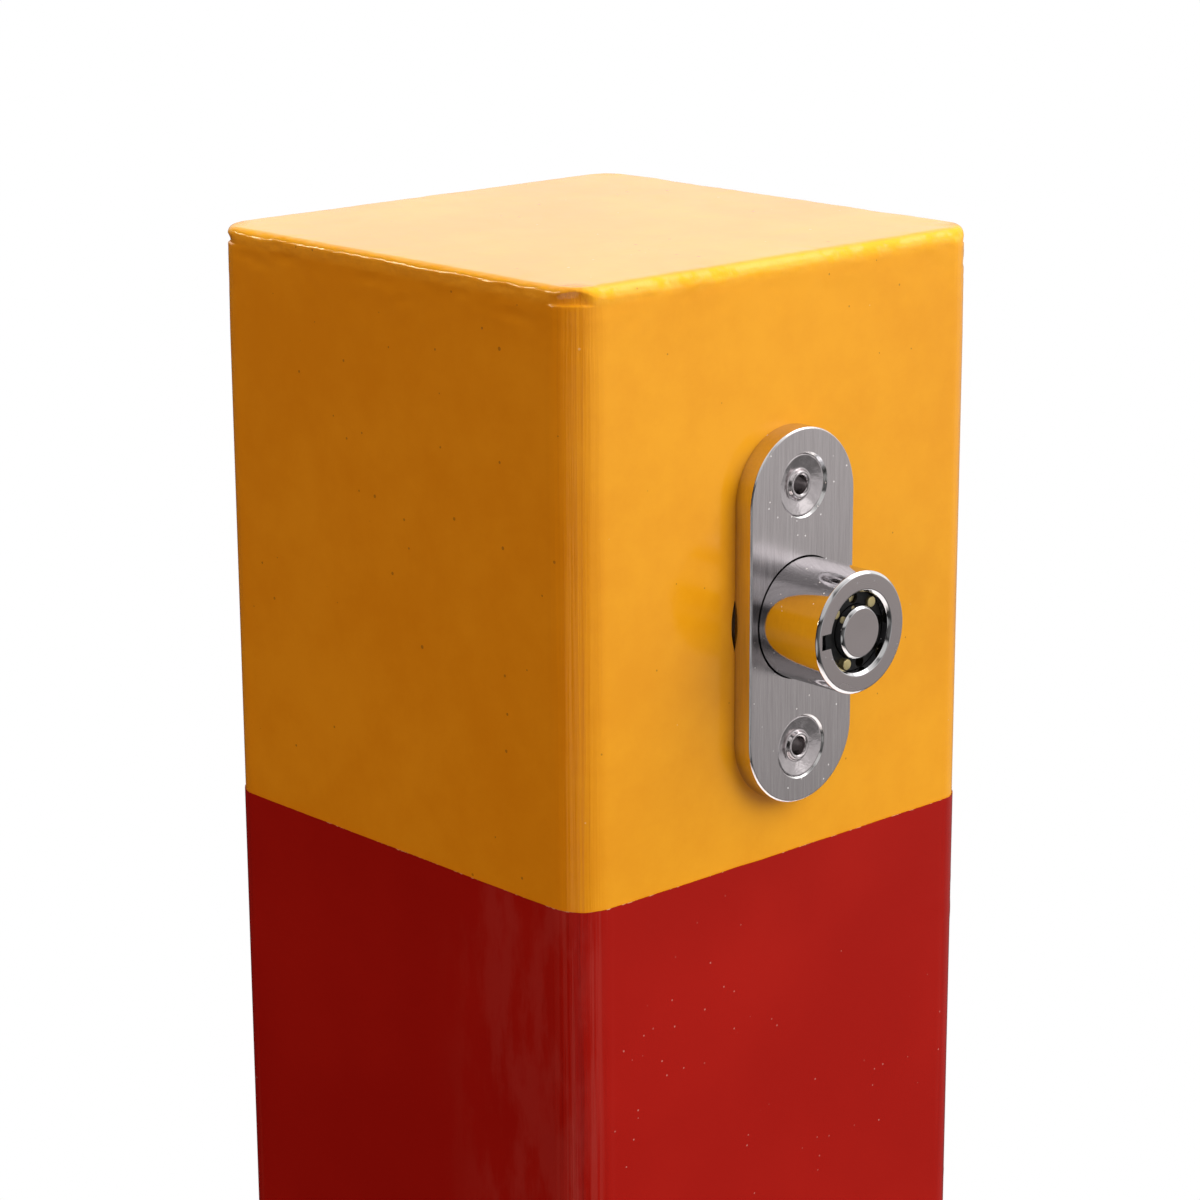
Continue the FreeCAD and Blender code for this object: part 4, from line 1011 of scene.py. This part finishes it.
join_points = smoothing("join_points", math.radians(30))
EDGE_BREAKS = {
    "base_plate": 0.5, "hinge_cheek_left": 0.6, "hinge_cheek_right": 0.6, "keeper_bar": 0.4, "seat_pad": 0.5,
    "hinge_bolt": 0.25, "hinge_nut": 0.25, "hinge_washers": 0.2, "thrust_washers": 0.15, "pivot_tube": 0.3,
    "upper_guide": 0.2, "lower_guide": 0.2, "locking_rod": 0.2, "cam_head": 0.3, "cam_pin": 0.2,
    "lock_barrel": 0.15, "latch_bolt": 0.2, "retaining_pin": 0.1, "rivet_mandrels": 0.1,
}
for label, width in EDGE_BREAKS.items():
    solid = nodes[label]
    solid.modifiers.new("join", "NODES").node_group = join_points
    whole = solid.modifiers.new("whole_flats", "DECIMATE")
    whole.decimate_type, whole.angle_limit = "DISSOLVE", math.radians(0.4)
    bevel = solid.modifiers.new("edge", "BEVEL")
    bevel.width, bevel.segments, bevel.limit_method = width * MM, 2, "ANGLE"
    bevel.angle_limit, bevel.loop_slide = math.radians(38), False
    solid.modifiers.new("shade", "NODES").node_group = join_points
    solid.modifiers.new("flats", "WEIGHTED_NORMAL").keep_sharp = True
print("softened solids:", len(EDGE_BREAKS))

# %% [markdown]
# ## Studio
# The post stands on a pale floor in front of white. A large soft box in front on the right lights the face
# with the lock, one above lights the top, and one behind lights the back. On the left a small lamp with a
# warm screen fills the shaded face, so its colour stays deep. Behind on the left a warm strip draws the thin
# line along the top edge. The room itself is dim on the left and pale on the right. Four glows hang in it
# for the lock to mirror: a card above the camera, a pane low on its left, a window high on the right and a
# panel on the right. The camera, and metal that mirrors the backdrop, see plain white there. In mirrors the
# floor darkens far in front of the post and behind it.

# %% Studio
FLOOR_RADIUS, FLOOR_STEPS, FLOOR_Z = 0.95, 128, -0.0002
ring = [Vector((FLOOR_RADIUS * c, FLOOR_RADIUS * s, FLOOR_Z)) for c, s in circle(FLOOR_STEPS)]
floor = skin_mesh("floor", ring, [tuple(range(FLOOR_STEPS))])
pale_floor, tree, shader, spot = new_material("pale_floor")
path = put(tree, "LightPath")
along_y = put(tree, "SeparateXYZ", {"Vector": spot}).outputs[1]
in_front, behind = ramp_of(along_y, -0.5, -0.75), ramp_of(along_y, 0.15, 0.9, 0.0, 0.75)
mirrored = times(path.outputs["Is Glossy Ray"], math_of("MAXIMUM", in_front, behind))
floor_colour = blend_of(mirrored, (0.83, 0.83, 0.83, 1), (0.1, 0.1, 0.1, 1))
fill(tree, shader, {"Base Color": floor_colour, "Roughness": 0.9})
white = put(tree, "Emission", {"Color": (1, 1, 1, 1), "Strength": 1.0})
away = vector_of("LENGTH", spot, output="Value")
fade = times(ramp_of(away, 0.3, 0.85), path.outputs["Is Camera Ray"])
both = put(tree, "MixShader", {0: fade, 1: shader.outputs[0], 2: white.outputs[0]})
tree.links.new(both.outputs[0], tree.nodes["Material Output"].inputs["Surface"])
floor.data.materials.append(pale_floor)
floor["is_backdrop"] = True
floor.visible_diffuse = False


def soft_box(name, direction, distance, wide, tall, power, colour=(1, 1, 1)):
    data = bpy.data.lights.new(name, "AREA")
    data.shape, data.size, data.size_y = "RECTANGLE", wide, tall
    data.energy, data.color = power, colour
    lamp = bpy.data.objects.new(name, data)
    direction = Vector(direction).normalized()
    lamp.location = Vector((0, 0, 0.85)) + direction * distance
    lamp.rotation_mode = "QUATERNION"
    lamp.rotation_quaternion = direction.to_track_quat("Z", "Y")
    bpy.context.scene.collection.objects.link(lamp)
    return lamp


LAMPS = (
    ("key_box", (0.46, -0.8, 0.5), 1.3, 1.4, 1.4, 15.6),
    ("left_box", (-0.9, -0.3, 0.1), 1.3, 1.0, 1.0, 5.6, (1.0, 0.46, 0.25)),
    ("top_box", (-0.1, 0.12, 1.0), 1.6, 1.5, 1.5, 15),
    ("back_box", (0.25, 1.0, 0.25), 1.5, 1.2, 1.2, 10),
)
for lamp in LAMPS:
    soft_box(*lamp).visible_glossy = False
edge_strip = soft_box("edge_strip", (-0.72, 0.62, 0.30), 1.6, 1.2, 0.2, 13.0, (1.0, 0.92, 0.62))
edge_strip.visible_diffuse = False

world = bpy.data.worlds.new("studio")
bpy.context.scene.world = world
world.use_nodes = True
tree = world.node_tree
tree.nodes.clear()
look = put(tree, "TexCoord").outputs["Generated"]
towards_right = along_of(look, tuple(level_right))
towards_back = along_of(look, (-back.x, -back.y, 0))
height = put(tree, "SeparateXYZ", {"Vector": look}).outputs[2]
towards_front = along_of(look, (0.0, -1.0, 0.0))
room = ramp_of(towards_right, -0.25, 0.92, 0.03, 0.6)
room = times(room, ramp_of(height, -0.45, -0.15, 0.3, 1.0))
raised = times(ramp_of(height, 0.06, 0.24), ramp_of(height, 0.82, 0.70))
dim = times(times(ramp_of(towards_front, 0.15, 0.5), raised), ramp_of(towards_right, 0.75, 0.45))
room = times(room, ramp_of(dim, 0.0, 1.0, 1.0, 0.28))
ceiling = times(ramp_of(height, 0.45, 0.95, 0.0, 0.7), ramp_of(towards_front, 0.75, 0.3))
backdrop = times(ramp_of(towards_back, 0.30, 0.72), ramp_of(height, -0.04, 0.16))
GLOWS = {
    "card": ((-0.5, -0.62, 0.6), 0.91, 0.96, 0.5),
    "pane": ((-0.79, -0.49, -0.36), 0.95, 0.985, 0.4),
    "window": ((0.652, -0.263, 0.711), 0.93, 0.97, 1.7),
    "panel": ((0.56, -0.73, 0.39), 0.93, 0.975, 0.65),
}
level = plus(plus(times(backdrop, 0.68), room), ceiling)
for direction, rim, middle, glow in GLOWS.values():
    level = plus(level, ramp_of(along_of(look, direction), rim, middle, 0.0, glow))
path = put(tree, "LightPath")
clear = math_of("MAXIMUM", path.outputs["Is Camera Ray"], path.outputs["Is Transmission Ray"])
clear = math_of("MAXIMUM", clear, times(path.outputs["Is Glossy Ray"], backdrop))
strength = put(tree, "Mix", {0: clear, 2: level, 3: 1.0}).outputs[0]
sky = put(tree, "Background", {"Color": (1, 1, 1, 1), "Strength": strength})
tree.links.new(sky.outputs[0], put(tree, "OutputWorld").inputs["Surface"])
print("studio ready")

# %% [markdown]
# ## Measure and finish
# The box round everything that is shown, apart from the floor, is printed. The finished pieces
# have to stay inside the box of the solids.

# %% Measure and finish
low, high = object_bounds()
print("visual box", [round(value, 4) for value in (*low, *high)])
